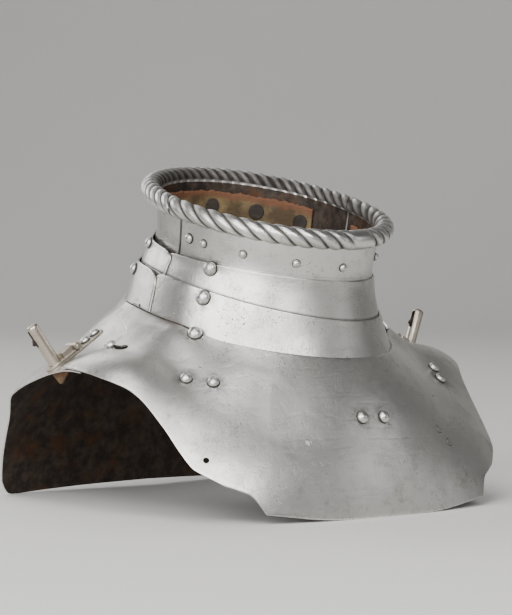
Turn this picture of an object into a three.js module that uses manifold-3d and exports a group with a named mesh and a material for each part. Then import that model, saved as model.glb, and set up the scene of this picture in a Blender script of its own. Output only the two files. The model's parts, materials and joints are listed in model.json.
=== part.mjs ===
// Steel gorget: hinged front and back halves of overlapping neck lames over
// shoulder plates, a roped neck rim, and a sprung hinged peg on each shoulder.
// Millimetres, +Z up. The front faces -Y, the wearer's left is +X.
import * as THREE from 'three';
import { mergeVertices } from 'three/addons/utils/BufferGeometryUtils.js';
import Module from 'manifold-3d';

const wasm = await Module();
wasm.setup();

// Driving sizes
const steelThickness = 1.2;
const plateGap = 0.5;
const seatGap = 0.3;
const layer = steelThickness + plateGap;
const ropeRadius = 6.6;
const ropeRelief = 0.9;
const ropeOut = 4.4;
const ropeAbove = 7.5;
const ropeEndGap = 1.6;
const strandsInHalf = 22;
const strandStarts = 3;
const leatherThickness = 1.8;

// Neck rings from the rim down: bare surface half width, half depth, forward
// shift, and the heights at the front, side and back. lean is how much higher
// the wearer's right side stands than the mean.
const rings = {
  rim: { halfWidth: 70.5, halfDepth: 77, forward: 12, front: 167, side: 188, back: 209, lean: 0 },
  second: { halfWidth: 69.5, halfDepth: 75.5, forward: 8, front: 148, side: 162, back: 183, lean: 3 },
  third: { halfWidth: 73.5, halfDepth: 81.5, forward: 5, front: 122, side: 144, back: 164, lean: 6 },
  shoulder: { halfWidth: 80.5, halfDepth: 91, forward: 3, front: 96, side: 116, back: 140, lean: 2 },
};
const ringList = [rings.rim, rings.second, rings.third, rings.shoulder];

// Free edge of each shoulder plate for one side, as smooth stretches from the
// centre outwards: degrees round the neck where a stretch ends, and its points
// as out from the middle, away from the neck, and height.
const frontEdge = [
  { from: 0, to: 36, columns: 4, points: [[0, 134, 0], [46, 132.5, 0.6], [91, 125, 6]] },
  { from: 36, to: 47, columns: 3, points: [[91, 125, 6], [97, 121.5, 17], [106, 116.5, 21], [117, 109, 24]] },
  { from: 47, to: 90, columns: 7, points: [[117, 109, 24], [121, 101, 34], [132, 73, 59], [142, 46, 81],
    [149, 26, 88], [152, 4, 91], [152, -6, 91]] },
];
const backEdge = [
  { from: 0, to: 40, columns: 5, points: [[0, 122, 4], [52, 127, 2.5], [106, 130, 0]] },
  { from: 40, to: 47, columns: 2, points: [[106, 130, 0], [117, 128, 1], [123, 123, 9]] },
  { from: 47, to: 100, columns: 8, points: [[123, 123, 9], [134, 108, 42], [141, 89, 65], [146, 65, 76], [149, 39, 84],
    [152, 16, 89], [153, 0, 91], [152, -14, 91]] },
];
for (const stretch of [...frontEdge, ...backEdge]) {
  stretch.curve = new THREE.CatmullRomCurve3(stretch.points.map((p) => new THREE.Vector3(...p)));
}
// How the shoulder plates fall away: degrees below level where they leave the
// neck and where they end, at the front, side and back. lean is how much less
// they fall on the wearer's left side than the mean.
const leaving = { front: 50, side: 40, back: 50, lean: 0 };
const ending = { front: 86, side: 26, back: 82, lean: 5 };

const radians = THREE.MathUtils.degToRad;
const smooth = THREE.MathUtils.smoothstep;

// A ring's or slope's front, side and back values blended round the neck.
// Angles run from the front, positive towards the wearer's left.
function round(values, angle) {
  const c = Math.cos(angle);
  const level = values.side + Math.abs(c) * ((c >= 0 ? values.front : values.back) - values.side);
  return level - values.lean * Math.sin(angle);
}

function ringPoint(ring, angle) {
  return new THREE.Vector3(
    ring.halfWidth * Math.sin(angle),
    -ring.forward - ring.halfDepth * Math.cos(angle),
    round(ring, angle),
  );
}

function outlinePoint(stretches, turn, side, ahead) {
  const stretch = stretches.find((s) => turn <= s.to) ?? stretches[stretches.length - 1];
  const along = THREE.MathUtils.clamp((turn - stretch.from) / (stretch.to - stretch.from), 0, 1);
  const p = stretch.curve.getPoint(along);
  return new THREE.Vector3(side * p.x, ahead * p.y, p.z);
}

// The free edge all round. The front and back outlines are blended on the shoulder.
function edgePoint(angle) {
  const side = Math.sin(angle) >= 0 ? 1 : -1;
  const turn = THREE.MathUtils.radToDeg(Math.acos(THREE.MathUtils.clamp(Math.cos(angle), -1, 1)));
  const front = outlinePoint(frontEdge, turn, side, -1);
  const back = outlinePoint(backEdge, 180 - turn, side, 1);
  return front.lerp(back, smooth(turn, 80, 93));
}

function hermite(p0, m0, p1, m1, t) {
  return p0.clone().multiplyScalar(2 * t ** 3 - 3 * t ** 2 + 1)
    .addScaledVector(m0, t ** 3 - 2 * t ** 2 + t)
    .addScaledVector(p1, 3 * t ** 2 - 2 * t ** 3)
    .addScaledVector(m1, t ** 3 - t ** 2);
}

function slope(outwards, degrees, length) {
  const a = radians(degrees);
  return new THREE.Vector3(outwards.x * Math.cos(a), outwards.y * Math.cos(a), -Math.sin(a)).multiplyScalar(length);
}

// Bare surface of the whole gorget: level 0 is the rim, each ring adds one,
// and the level after the last ring is the free edge.
function bareSurface(angle, level) {
  const last = ringList.length - 1;
  const i = Math.min(Math.max(Math.floor(level), 0), last);
  const here = ringPoint(ringList[i], angle);
  if (i === last) {
    const end = edgePoint(angle);
    const outwards = end.clone().sub(here).setZ(0).normalize();
    const length = end.distanceTo(here);
    return hermite(here, slope(outwards, round(leaving, angle), length),
      end, slope(outwards, round(ending, angle), length), level - last);
  }
  const next = ringPoint(ringList[i + 1], angle);
  if (level < 0) {
    return here.addScaledVector(next.sub(here), level);
  }
  const before = i > 0 ? ringPoint(ringList[i - 1], angle) : here.clone().multiplyScalar(2).sub(next);
  const after = ringPoint(ringList[Math.min(i + 2, last)], angle);
  return hermite(here, next.clone().sub(before).divideScalar(2), next, after.sub(here).divideScalar(2), level - i);
}

function surfaceNormal(angle, level) {
  const d = 0.01;
  const across = bareSurface(angle + d, level).sub(bareSurface(angle - d, level));
  const down = bareSurface(angle, level + d).sub(bareSurface(angle, level - d));
  return down.cross(across).normalize();
}

// The pressed plates in layers from the neck outwards. Where the halves overlap
// at the sides the layers open out, and one plate of each pair is outermost.
// right and left are the ends in degrees at the top and lower edges.
const plates = {
  front_top_lame: { rank: 0, outer: {}, right: [-90, -90], left: [89, 89] },
  front_lame_2: { rank: 1, outer: { left: 1 }, right: [-97, -97], left: [91, 91] },
  front_lame_3: { rank: 2, outer: { left: 1 }, right: [-97, -97], left: [91, 91] },
  front_main_plate: { rank: 3, outer: { left: 1.3, right: 1.3 }, right: [-110, -90], left: [98, 90] },
  back_top_lame: { rank: 0, outer: {}, right: [-91.2, -91.2], left: [89.6, 89.6] },
  back_lame_2: { rank: 1, outer: { right: 1 }, right: [-92, -92], left: [82, 82] },
  back_lame_3: { rank: 2, outer: { right: 1 }, right: [-94, -94], left: [82, 82] },
  back_main_plate: { rank: 3, outer: {}, right: [-80, -80], left: [80, 80] },
};

function layersOut(plate, angle, level) {
  const turn = THREE.MathUtils.radToDeg(Math.acos(THREE.MathUtils.clamp(Math.cos(angle), -1, 1)));
  const spread = smooth(turn, 56, 78) * (1 - smooth(turn, 112, 134));
  const outer = plate.outer[Math.sin(angle) < 0 ? 'right' : 'left'] ?? 0;
  const neck = plate.rank + spread * (plate.rank + outer);
  return THREE.MathUtils.lerp(neck, 1 + spread * outer, smooth(level, 3.15, 3.6));
}

// A point of a plate, its depth counted inwards from the outer face
function onPlate(plate, angle, level, depth = 0) {
  const outwards = layersOut(plate, angle, level) * layer - depth;
  return bareSurface(angle, level).addScaledVector(surfaceNormal(angle, level), outwards);
}

// The face normal of a plate as it is layered
function plateNormal(plate, angle, level) {
  const d = 0.01;
  const across = onPlate(plate, angle + d, level).sub(onPlate(plate, angle - d, level));
  const down = onPlate(plate, angle, level + d).sub(onPlate(plate, angle, level - d));
  return down.cross(across).normalize();
}

// Joining and cutting closed meshes
function toSolid(geometry) {
  const bare = geometry.index ? geometry.toNonIndexed() : geometry.clone();
  bare.deleteAttribute('normal');
  bare.deleteAttribute('uv');
  const merged = mergeVertices(bare, 1e-4);
  return new wasm.Manifold(new wasm.Mesh({
    numProp: 3,
    vertProperties: new Float32Array(merged.attributes.position.array),
    triVerts: new Uint32Array(merged.index.array),
  }));
}

function toGeometry(solid) {
  const mesh = solid.getMesh();
  const geometry = new THREE.BufferGeometry();
  geometry.setAttribute('position', new THREE.BufferAttribute(mesh.vertProperties, 3));
  geometry.setIndex(new THREE.BufferAttribute(mesh.triVerts, 1));
  return geometry;
}

function spread(from, to, count) {
  return Array.from({ length: count + 1 }, (_, i) => from + ((to - from) * i) / count);
}

// Closed mesh between an outer and an inner grid of points, rows running down
// and columns counter-clockwise as seen from above
function shell(outer, inner) {
  const rows = outer.length;
  const columns = outer[0].length;
  const faces = [];
  const quad = (a, b, c, d) => faces.push(a, b, c, a, c, d);
  const at = (side, r, c) => (side * rows + r) * columns + c;
  for (let r = 0; r < rows - 1; r += 1) {
    for (let c = 0; c < columns - 1; c += 1) {
      quad(at(0, r, c), at(0, r + 1, c), at(0, r + 1, c + 1), at(0, r, c + 1));
      quad(at(1, r, c), at(1, r, c + 1), at(1, r + 1, c + 1), at(1, r + 1, c));
    }
    quad(at(0, r, 0), at(1, r, 0), at(1, r + 1, 0), at(0, r + 1, 0));
    quad(at(0, r, columns - 1), at(0, r + 1, columns - 1), at(1, r + 1, columns - 1), at(1, r, columns - 1));
  }
  for (let c = 0; c < columns - 1; c += 1) {
    quad(at(0, 0, c), at(0, 0, c + 1), at(1, 0, c + 1), at(1, 0, c));
    quad(at(0, rows - 1, c), at(1, rows - 1, c), at(1, rows - 1, c + 1), at(0, rows - 1, c + 1));
  }
  const geometry = new THREE.BufferGeometry();
  const points = [...outer.flat(), ...inner.flat()];
  geometry.setAttribute('position', new THREE.Float32BufferAttribute(points.flatMap((p) => [p.x, p.y, p.z]), 3));
  geometry.setIndex(faces);
  return geometry;
}

// Column angles in degrees of one plate at a share of its depth
function columnAngles(name, share) {
  const plate = plates[name];
  const right = THREE.MathUtils.lerp(...plate.right, smooth(share, 0.05, 0.4));
  const left = THREE.MathUtils.lerp(...plate.left, smooth(share, 0.05, 0.4));
  const isBack = name.startsWith('back');
  const outline = isBack ? backEdge : frontEdge;
  const turns = outline.flatMap((s) => spread(s.from, s.to, s.columns).slice(1));
  const end = turns[turns.length - 1];
  const bend = 58;
  const fit = (turn, reach) => (turn < bend ? turn : bend + ((turn - bend) * (reach - bend)) / (end - bend));
  return isBack
    ? [...turns.map((t) => 180 - fit(t, 180 - left)).reverse(), 180, ...turns.map((t) => 180 + fit(t, 180 + right))]
    : [...turns.map((t) => -fit(t, -right)).reverse(), 0, ...turns.map((t) => fit(t, left))];
}

// Rows of neighbouring plates share the levels where one lies under the next
const hiddenLevels = 0.28;
const hiddenOnShoulder = 0.07;
const rowLevels = [
  [-0.15, 0.4, 1, 1 + hiddenLevels],
  [1, 1 + hiddenLevels, 2, 2 + hiddenLevels],
  [2, 2 + hiddenLevels, 3, 3 + hiddenOnShoulder],
  [3, 3 + hiddenOnShoulder, 3.2, 3.36, 3.52, 3.68, 3.84, 4],
];

function plateShell(name) {
  const plate = plates[name];
  const levels = rowLevels[plate.rank];
  const [top, bottom] = [levels[0], levels[levels.length - 1]];
  const grid = (depth) => levels.map((level) => columnAngles(name, (level - top) / (bottom - top))
    .map((a) => onPlate(plate, radians(a), level, depth)));
  return toSolid(shell(grid(0), grid(steelThickness)));
}

// Top lame and its rolled rim in one piece, the rim filed to look like rope.
// Each section runs up the outer face, round the rope and down the inner face.
function ropeCentre(angle) {
  const ring = rings.rim;
  return new THREE.Vector3((ring.halfWidth + ropeOut) * Math.sin(angle),
    -ring.forward - (ring.halfDepth + ropeOut) * Math.cos(angle), round(ring, angle) + ropeAbove);
}

// Directions round the rope's section in degrees, and sections to each strand
const ropeSides = [255, 315, 10, 65, 125, 195];
const sectionsPerStrand = 2.25;
function topLame(name, from, to, strands, mirrorAt) {
  const plate = plates[name];
  const levels = rowLevels[0];
  const steps = Math.round(strands * sectionsPerStrand);
  const sections = spread(radians(from), radians(to), steps).map((angle) => {
    const centre = ropeCentre(angle);
    const strand = (Math.abs(angle - radians(mirrorAt)) / radians(to - from)) * strands;
    const hand = angle < radians(mirrorAt) ? -1 : 1;
    const rope = ropeSides.map((degrees) => {
      const t = radians(degrees);
      const crest = Math.abs(Math.sin(Math.PI * strand + (hand * strandStarts * t) / 2));
      const r = ropeRadius - ropeRelief * (1 - crest);
      return centre.clone().add(new THREE.Vector3(r * Math.cos(t) * Math.sin(angle),
        -r * Math.cos(t) * Math.cos(angle), r * Math.sin(t)));
    });
    const outer = levels.slice().reverse().map((level) => onPlate(plate, angle, level));
    const inner = [levels[0], levels[1], levels[3]].map((level) => onPlate(plate, angle, level, steelThickness));
    return [...outer, ...rope, ...inner];
  });
  const count = sections[0].length;
  const faces = [];
  for (let i = 0; i < sections.length - 1; i += 1) {
    for (let k = 0; k < count; k += 1) {
      const [p, q] = [i * count + k, i * count + ((k + 1) % count)];
      faces.push(p, p + count, q, q, p + count, q + count);
    }
  }
  const points = sections.flat();
  const loop = sections[0].map((_, k) => new THREE.Vector2(...sectionPlane(sections[0][k], radians(from))));
  const last = (sections.length - 1) * count;
  for (const [p, q, r] of THREE.ShapeUtils.triangulateShape(loop, [])) {
    const turned = THREE.ShapeUtils.area(loop) > 0;
    const [u, v, w] = turned ? [p, q, r] : [p, r, q];
    faces.push(u, v, w, last + u, last + w, last + v);
  }
  const geometry = new THREE.BufferGeometry();
  geometry.setAttribute('position', new THREE.Float32BufferAttribute(points.flatMap((p) => [p.x, p.y, p.z]), 3));
  geometry.setIndex(faces);
  return toSolid(geometry);
}

// Distance out and height of a point, in the upright plane of its section
function sectionPlane(point, angle) {
  return [point.x * Math.sin(angle) - point.y * Math.cos(angle), point.z];
}

// A frame on a plate: z is the outward normal, x runs outwards over the shoulder
function frameAt(plate, angle, level, turn = 0) {
  const origin = onPlate(plate, angle, level);
  const z = plateNormal(plate, angle, level);
  const x = new THREE.Vector3(Math.sin(angle), -Math.cos(angle), 0).applyAxisAngle(new THREE.Vector3(0, 0, 1), turn);
  x.addScaledVector(z, -x.dot(z)).normalize();
  const y = z.clone().cross(x);
  return new THREE.Matrix4().makeBasis(x, y, z).setPosition(origin);
}

// The angle and level where a plate's outer face passes over a plan point
function locate(plate, x, y) {
  let angle = Math.atan2(x, -y);
  let level = 3.5;
  const step = 0.001;
  for (let i = 0; i < 40; i += 1) {
    const p = onPlate(plate, angle, level);
    const pa = onPlate(plate, angle + step, level).sub(p).divideScalar(step);
    const pl = onPlate(plate, angle, level + step).sub(p).divideScalar(step);
    const [ex, ey] = [x - p.x, y - p.y];
    const det = pa.x * pl.y - pl.x * pa.y;
    angle += 0.7 * THREE.MathUtils.clamp((ex * pl.y - pl.x * ey) / det, -0.2, 0.2);
    level += 0.7 * THREE.MathUtils.clamp((pa.x * ey - ex * pa.y) / det, -0.2, 0.2);
    level = THREE.MathUtils.clamp(level, 3.01, 3.99);
  }
  return { angle, level };
}

const steel = { color: 0xbab8b4, roughness: 0.34, metalness: 1 };
const pegSteel = { color: 0xa69c8c, roughness: 0.42, metalness: 1 };
const darkIron = { color: 0x3a3632, roughness: 0.6, metalness: 0.9 };
const leather = { color: 0x7d6a42, roughness: 0.85, metalness: 0 };
const gorget = new THREE.Group();

function add(name, shape, look, matrix) {
  const geometry = shape.isBufferGeometry ? shape : toGeometry(shape);
  if (matrix) {
    geometry.applyMatrix4(matrix);
  }
  geometry.computeVertexNormals();
  const mesh = new THREE.Mesh(geometry, new THREE.MeshStandardMaterial(look));
  mesh.name = name;
  gorget.add(mesh);
}

function cylinder(radius, from, to, sides = 10) {
  const geometry = new THREE.CylinderGeometry(radius, radius, to - from, sides);
  return geometry.rotateX(Math.PI / 2).translate(0, 0, (from + to) / 2);
}

// A rivet round the hole of what it holds: domed head outside, shank, and a
// burr inside. Its z axis is the outward normal, with zero on the outer face.
const rivetShank = 1.5;
function rivetShape(head, dome, stack, seat = seatGap) {
  const bottom = -stack - seat;
  const points = [[0, bottom - 0.9], [rivetShank + 0.9, bottom], [rivetShank, bottom], [rivetShank, seat],
    [head, seat], [head * 0.68, seat + dome * 0.75], [0, seat + dome]];
  return new THREE.LatheGeometry(points.map((p) => new THREE.Vector2(...p)), 6).rotateX(Math.PI / 2);
}

const bodies = {};
for (const name of Object.keys(plates).filter((n) => plates[n].rank > 0)) {
  bodies[name] = plateShell(name);
}
bodies.front_top_lame = topLame('front_top_lame', -90, 89, strandsInHalf, 8);
bodies.back_top_lame = topLame('back_top_lame', 90, 270 - ropeEndGap, strandsInHalf, 180);

function drill(names, matrix, radius, depth) {
  const tool = toSolid(cylinder(radius, -depth, 3, 7).applyMatrix4(matrix));
  for (const name of names) {
    bodies[name] = bodies[name].subtract(tool);
  }
}

// Leather linings inside the top lames, and the discs riveted to the back one
function lining(name, from, to, top, bottom, columns) {
  const plate = plates[name];
  const grid = (depth) => spread(top, bottom, 2).map((level) => spread(from, to, columns)
    .map((a) => onPlate(plate, radians(a), level, depth)));
  const inside = steelThickness + plateGap + 0.1;
  return toSolid(shell(grid(inside), grid(inside + leatherThickness)));
}
const frontLining = { name: 'front_top_lame', from: -84, to: 84, top: 0.1, bottom: 0.95 };
const backLining = { name: 'back_top_lame', from: 112, to: 256, top: 0.08, bottom: 0.85 };
bodies.front_leather_lining = lining('front_top_lame', frontLining.from, frontLining.to, frontLining.top,
  frontLining.bottom, 14);
bodies.back_leather_lining = lining('back_top_lame', backLining.from, backLining.to, backLining.top,
  backLining.bottom, 14);

// Rivets: where they stand, the plates that they pass through, head radius,
// height of the dome, and how thick the stack is
const thin = steelThickness;
const lined = steelThickness + plateGap + 0.6 + leatherThickness;
const pair = layer + steelThickness;
const rivets = [
  { name: 'lining_rivet_right_rear', on: 'front_top_lame', through: ['front_leather_lining'], at: [-84, 0.45],
    head: 3.2, dome: 2, stack: lined, seat: 0.7 },
  { name: 'lining_rivet_right', on: 'front_top_lame', through: ['front_leather_lining'], at: [-74.5, 0.47],
    head: 2.6, dome: 1.9, stack: lined, seat: 0.7 },
  { name: 'lining_rivet_front_right', on: 'front_top_lame', through: ['front_leather_lining'], at: [-52.5, 0.5],
    head: 2.6, dome: 1.9, stack: lined, seat: 0.7 },
  { name: 'lining_rivet_front', on: 'front_top_lame', through: ['front_leather_lining'], at: [-25, 0.52],
    head: 2.6, dome: 1.9, stack: lined, seat: 0.7 },
  { name: 'lining_rivet_front_left', on: 'front_top_lame', through: ['front_leather_lining'], at: [3, 0.56],
    head: 2.6, dome: 1.9, stack: lined, seat: 0.7 },
  { name: 'lining_rivet_left', on: 'front_top_lame', through: ['front_leather_lining'], at: [45, 0.45],
    head: 2.6, dome: 1.9, stack: lined, seat: 0.7 },
  { name: 'lame_rivet_right_1', on: 'front_lame_2', through: ['front_top_lame'], at: [-67.6, 1.2],
    head: 4.7, dome: 3.1, stack: pair, seat: 0.55 },
  { name: 'lame_rivet_right_2', on: 'front_lame_3', through: ['front_lame_2'], at: [-67.6, 2.16],
    head: 4.8, dome: 3.2, stack: pair, seat: 0.55 },
  { name: 'lame_rivet_right_3', on: 'front_main_plate', through: ['front_lame_3'], at: [-68, 3.055],
    head: 4.8, dome: 3.2, stack: pair, seat: 0.55 },
  { name: 'back_lame_rivet_1', on: 'back_lame_2', through: ['back_top_lame'], at: [-116, 1.2],
    head: 3.8, dome: 2.6, stack: pair },
  { name: 'back_lame_rivet_2', on: 'back_lame_3', through: ['back_lame_2'], at: [-116, 2.2],
    head: 3.8, dome: 2.6, stack: pair },
  { name: 'strap_rivet_right_1', on: 'front_main_plate', through: [], plan: [-104, -60], head: 4, dome: 2.7, stack: thin,
    seat: 0.75 },
  { name: 'strap_rivet_right_2', on: 'front_main_plate', through: [], plan: [-91.5, -72], head: 4, dome: 2.7, stack: thin,
    seat: 0.75 },
  { name: 'strap_rivet_centre_1', on: 'front_main_plate', through: [], plan: [-9, -119.5], head: 4, dome: 2.7, stack: thin,
    seat: 0.75 },
  { name: 'strap_rivet_centre_2', on: 'front_main_plate', through: [], plan: [9, -119.5], head: 4, dome: 2.7, stack: thin,
    seat: 0.75 },
  { name: 'strap_rivet_left_1', on: 'front_main_plate', through: [], plan: [110, -55], head: 3.9, dome: 2.6, stack: thin,
    seat: 0.8 },
  { name: 'strap_rivet_left_2', on: 'front_main_plate', through: [], plan: [107, -64.5], head: 3.9, dome: 2.6, stack: thin,
    seat: 0.8 },
  { name: 'flush_rivet_1', on: 'front_main_plate', through: [], plan: [62.5, -113], head: 2.6, dome: 0.5, stack: thin },
  { name: 'flush_rivet_2', on: 'front_main_plate', through: [], plan: [69, -116], head: 2.6, dome: 0.5, stack: thin },
];
for (const rivet of rivets) {
  const plate = plates[rivet.on];
  const at = rivet.plan ? locate(plate, ...rivet.plan) : { angle: radians(rivet.at[0]), level: rivet.at[1] };
  rivet.matrix = frameAt(plate, at.angle, at.level);
  for (const inner of rivet.through.filter((name) => plates[name])) {
    rivet.stack = (layersOut(plate, at.angle, at.level) - layersOut(plates[inner], at.angle, at.level)) * layer
      + steelThickness;
  }
  drill([rivet.on, ...rivet.through], rivet.matrix, rivetShank + seatGap, rivet.stack + 6);
}

// Plain holes through the front plate: radius and plan place
const strayHoles = [
  { radius: 2, plan: [-53.5, -120.5] },
  { radius: 2, plan: [-118, -99] },
  { radius: 0.9, plan: [75, -94] },
];
for (const hole of strayHoles) {
  const at = locate(plates.front_main_plate, ...hole.plan);
  drill(['front_main_plate'], frameAt(plates.front_main_plate, at.angle, at.level), hole.radius, 6);
}

// Closing stud on the back plate, through the keyhole of the front plate
const studNeck = 1.9;
const studHead = 3.9;
const slotHalfWidth = 2.4;
const keyholeRadius = 4.3;
const slotBehind = 5;
const slotAhead = 11;
const studAt = locate(plates.back_main_plate, -120, -2);
const studFrame = frameAt(plates.back_main_plate, studAt.angle, studAt.level);
const slot = toSolid(new THREE.BoxGeometry(2 * slotHalfWidth, slotAhead + slotBehind, 12)
  .translate(0, (slotAhead - slotBehind) / 2, 0));
const studShape = new THREE.LatheGeometry([[0, -thin - seatGap - 0.8], [3, -thin - seatGap - 0.8],
  [3, -thin - seatGap], [studNeck, -thin - seatGap], [studNeck, 3], [studHead, 3.4], [studHead * 0.85, 4.8],
  [studHead * 0.45, 5.8], [0, 6.1]].map((p) => new THREE.Vector2(...p)), 10).rotateX(Math.PI / 2);
drill(['back_main_plate'], studFrame, studNeck + seatGap, 4);

// Pivot rivet that joins the halves on the wearer's left shoulder
const pivotAt = locate(plates.front_main_plate, 124, -2);
const pivotFrame = frameAt(plates.front_main_plate, pivotAt.angle, pivotAt.level);
const pivotStack = (layersOut(plates.front_main_plate, pivotAt.angle, pivotAt.level)
  - layersOut(plates.back_main_plate, pivotAt.angle, pivotAt.level)) * layer + steelThickness + 0.2;
drill(['front_main_plate', 'back_main_plate'], pivotFrame, rivetShank + 0.5, 8);

// Shoulder fitting: a riveted strip, and a leaf hinged to it that carries the peg.
// x runs outwards from the hinge, z along the peg.
const fitting = {
  inner: 23, outer: 25, width: 13, thickness: 1.6, knuckle: 2.5, pin: 1.1, pegAt: 17.5, tabHeight: 3.6,
  pegRadius: 4.3, pegLength: 29.5, slotDepth: 2.6, slotWidth: 2.6, catchBelowTop: 4.5, catchLength: 8.5,
};
const catchPivot = fitting.pegLength - fitting.catchBelowTop;
const leafBottom = fitting.thickness + seatGap;
const hingeHeight = fitting.thickness + seatGap + fitting.knuckle;
const bore = fitting.pin + seatGap;

function across(radius, from, to, x, z, sides = 8) {
  return toSolid(new THREE.CylinderGeometry(radius, radius, to - from, sides).translate(x, (from + to) / 2, z));
}

function roundEndPlate(from, to, width, bottom, top) {
  const shape = new THREE.Shape();
  const r = width / 2;
  shape.moveTo(from, -r);
  shape.lineTo(to - r, -r);
  shape.absarc(to - r, 0, r, -Math.PI / 2, Math.PI / 2, false);
  shape.lineTo(from, r);
  shape.closePath();
  return toSolid(new THREE.ExtrudeGeometry(shape, { depth: top - bottom, bevelEnabled: false, curveSegments: 4 })
    .translate(0, 0, bottom));
}

function block(x0, x1, y0, y1, z0, z1) {
  return toSolid(new THREE.BoxGeometry(x1 - x0, y1 - y0, z1 - z0)
    .translate((x0 + x1) / 2, (y0 + y1) / 2, (z0 + z1) / 2));
}

const burrClearance = 1.7;
function shoulderFitting(side, sign, catchSign, pegAxis) {
  const f = fitting;
  const half = f.width / 2;
  const hub = f.width / 6;
  const plan = { x: sign * 133, y: 15.5 };
  const at = locate(plates.back_main_plate, plan.x, plan.y);
  const seat = onPlate(plates.back_main_plate, at.angle, at.level);
  const z = new THREE.Vector3(...pegAxis).normalize();
  const x = new THREE.Vector3(sign, 0.1, 0);
  x.addScaledVector(z, -x.dot(z)).normalize();
  const y = z.clone().cross(x);
  // Raised until the strip clears the plate under all of it
  let lift = 0;
  for (const u of spread(-f.inner, f.outer, 8)) {
    for (const v of spread(-half, half, 4)) {
      const p = seat.clone().addScaledVector(x, u).addScaledVector(y, v);
      for (const name of ['back_main_plate', 'front_main_plate']) {
        const under = locate(plates[name], p.x, p.y);
        const q = onPlate(plates[name], under.angle, under.level);
        const covered = name === 'back_main_plate' || Math.abs(under.angle) < radians(92);
        if (covered && Math.hypot(q.x - p.x, q.y - p.y) < 1) {
          lift = Math.max(lift, q.sub(seat).dot(z));
        }
      }
    }
  }
  const frame = new THREE.Matrix4().makeBasis(x, y, z).setPosition(seat.clone().addScaledVector(z, lift + seatGap));

  let strip = roundEndPlate(-f.inner, f.outer, f.width, 0, f.thickness);
  for (const s of [-1, 1]) {
    const [from, to] = s < 0 ? [-half, -hub - seatGap] : [hub + seatGap, half];
    strip = strip.add(across(f.knuckle, from, to, 0, hingeHeight));
    strip = strip.add(block(-f.knuckle, 0, from, to, f.thickness - 0.2, hingeHeight));
  }
  strip = strip.subtract(across(bore, -half - 1, half + 1, 0, hingeHeight));
  const stripRivets = [-17.5, -9].map((u, i) => ({
    name: `strip_rivet_${side}_${i + 1}`,
    matrix: frame.clone().multiply(new THREE.Matrix4().makeTranslation(u, 0, f.thickness)),
  }));
  for (const rivet of stripRivets) {
    strip = strip.subtract(toSolid(cylinder(rivetShank + seatGap, -4, 4).applyMatrix4(
      frame.clone().invert().multiply(rivet.matrix))));
    drill(['back_main_plate'], rivet.matrix, rivetShank + seatGap, 14);
  }
  let leaf = roundEndPlate(f.knuckle + seatGap, f.outer, f.width, leafBottom, leafBottom + f.thickness);
  leaf = leaf.add(across(f.knuckle, -hub, hub, 0, hingeHeight));
  leaf = leaf.add(block(0, f.knuckle + seatGap + 1, -hub, hub, leafBottom, leafBottom + f.thickness));
  leaf = leaf.add(block(4, 12, -half + 1, half - 1, leafBottom + f.thickness - 0.2, leafBottom + f.thickness + f.tabHeight));
  leaf = leaf.subtract(across(bore, -half - 1, half + 1, 0, hingeHeight));
  const foot = leafBottom + f.thickness;
  const centre = new THREE.Matrix4().makeTranslation(f.pegAt, 0, foot);
  let peg = toSolid(cylinder(f.pegRadius, -0.4, f.pegLength, 10).applyMatrix4(centre));
  const slotX = catchSign > 0 ? [-f.slotDepth, f.pegRadius + 1] : [-f.pegRadius - 1, f.slotDepth];
  peg = peg.subtract(block(f.pegAt + slotX[0], f.pegAt + slotX[1], -f.slotWidth / 2, f.slotWidth / 2,
    foot + catchPivot - f.catchLength - 1.5, foot + catchPivot + 2));
  peg = peg.subtract(across(1.25, -f.pegRadius - 1, f.pegRadius + 1, f.pegAt, foot + catchPivot, 8));
  leaf = leaf.add(peg);
  const wedge = new THREE.Shape([[-1.1, 1.4], [1.1, 1.4], [3.9, -3.5], [6.2, -f.catchLength + 1.2],
    [3.4, -f.catchLength], [0.2, -f.catchLength], [-1.1, -2]].map((p) => new THREE.Vector2(...p)));
  let latch = toSolid(new THREE.ExtrudeGeometry(wedge, { depth: f.slotWidth - 2 * seatGap, bevelEnabled: false })
    .translate(0, 0, -(f.slotWidth / 2 - seatGap)).rotateX(Math.PI / 2));
  latch = latch.subtract(across(1.25, -4, 4, 0, 0, 8));
  const latchPlace = new THREE.Matrix4().makeTranslation(f.pegAt, 0, foot + catchPivot);
  if (catchSign < 0) {
    latchPlace.multiply(new THREE.Matrix4().makeRotationZ(Math.PI));
  }
  add(`strip_${side}`, strip, pegSteel, frame);
  for (const rivet of stripRivets) {
    const under = locate(plates.back_main_plate, new THREE.Vector3().setFromMatrixPosition(rivet.matrix).x,
      new THREE.Vector3().setFromMatrixPosition(rivet.matrix).y);
    const below = onPlate(plates.back_main_plate, under.angle, under.level, thin);
    const depth = new THREE.Vector3().setFromMatrixPosition(rivet.matrix).sub(below).dot(z) + burrClearance;
    add(rivet.name, rivetShape(3.4, 2.8, depth), steel, rivet.matrix);
  }
  add(`hinge_pin_${side}`, across(f.pin, -half - 0.4, half + 0.4, 0, hingeHeight, 8), pegSteel, frame);
  add(`peg_leaf_${side}`, leaf, pegSteel, frame);
  add(`spring_catch_${side}`, toGeometry(latch).applyMatrix4(latchPlace), darkIron, frame);
  add(`catch_pin_${side}`, across(0.95, -f.pegRadius, f.pegRadius, f.pegAt, foot + catchPivot, 8), pegSteel, frame);
}
shoulderFitting('right', -1, 1, [-0.55, 0.12, 0.83]);
shoulderFitting('left', 1, -1, [0.42, 0.12, 0.9]);

// Keyhole of the front plate: a slot round the stud, and the big end ahead of it
bodies.front_main_plate = bodies.front_main_plate.subtract(slot.transform(studFrame.toArray()));
const bigEnd = new THREE.Matrix4().makeTranslation(0, slotAhead, 0);
bodies.front_main_plate = bodies.front_main_plate.subtract(
  toSolid(cylinder(keyholeRadius, -2, 8, 12).applyMatrix4(studFrame.clone().multiply(bigEnd))));

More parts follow.
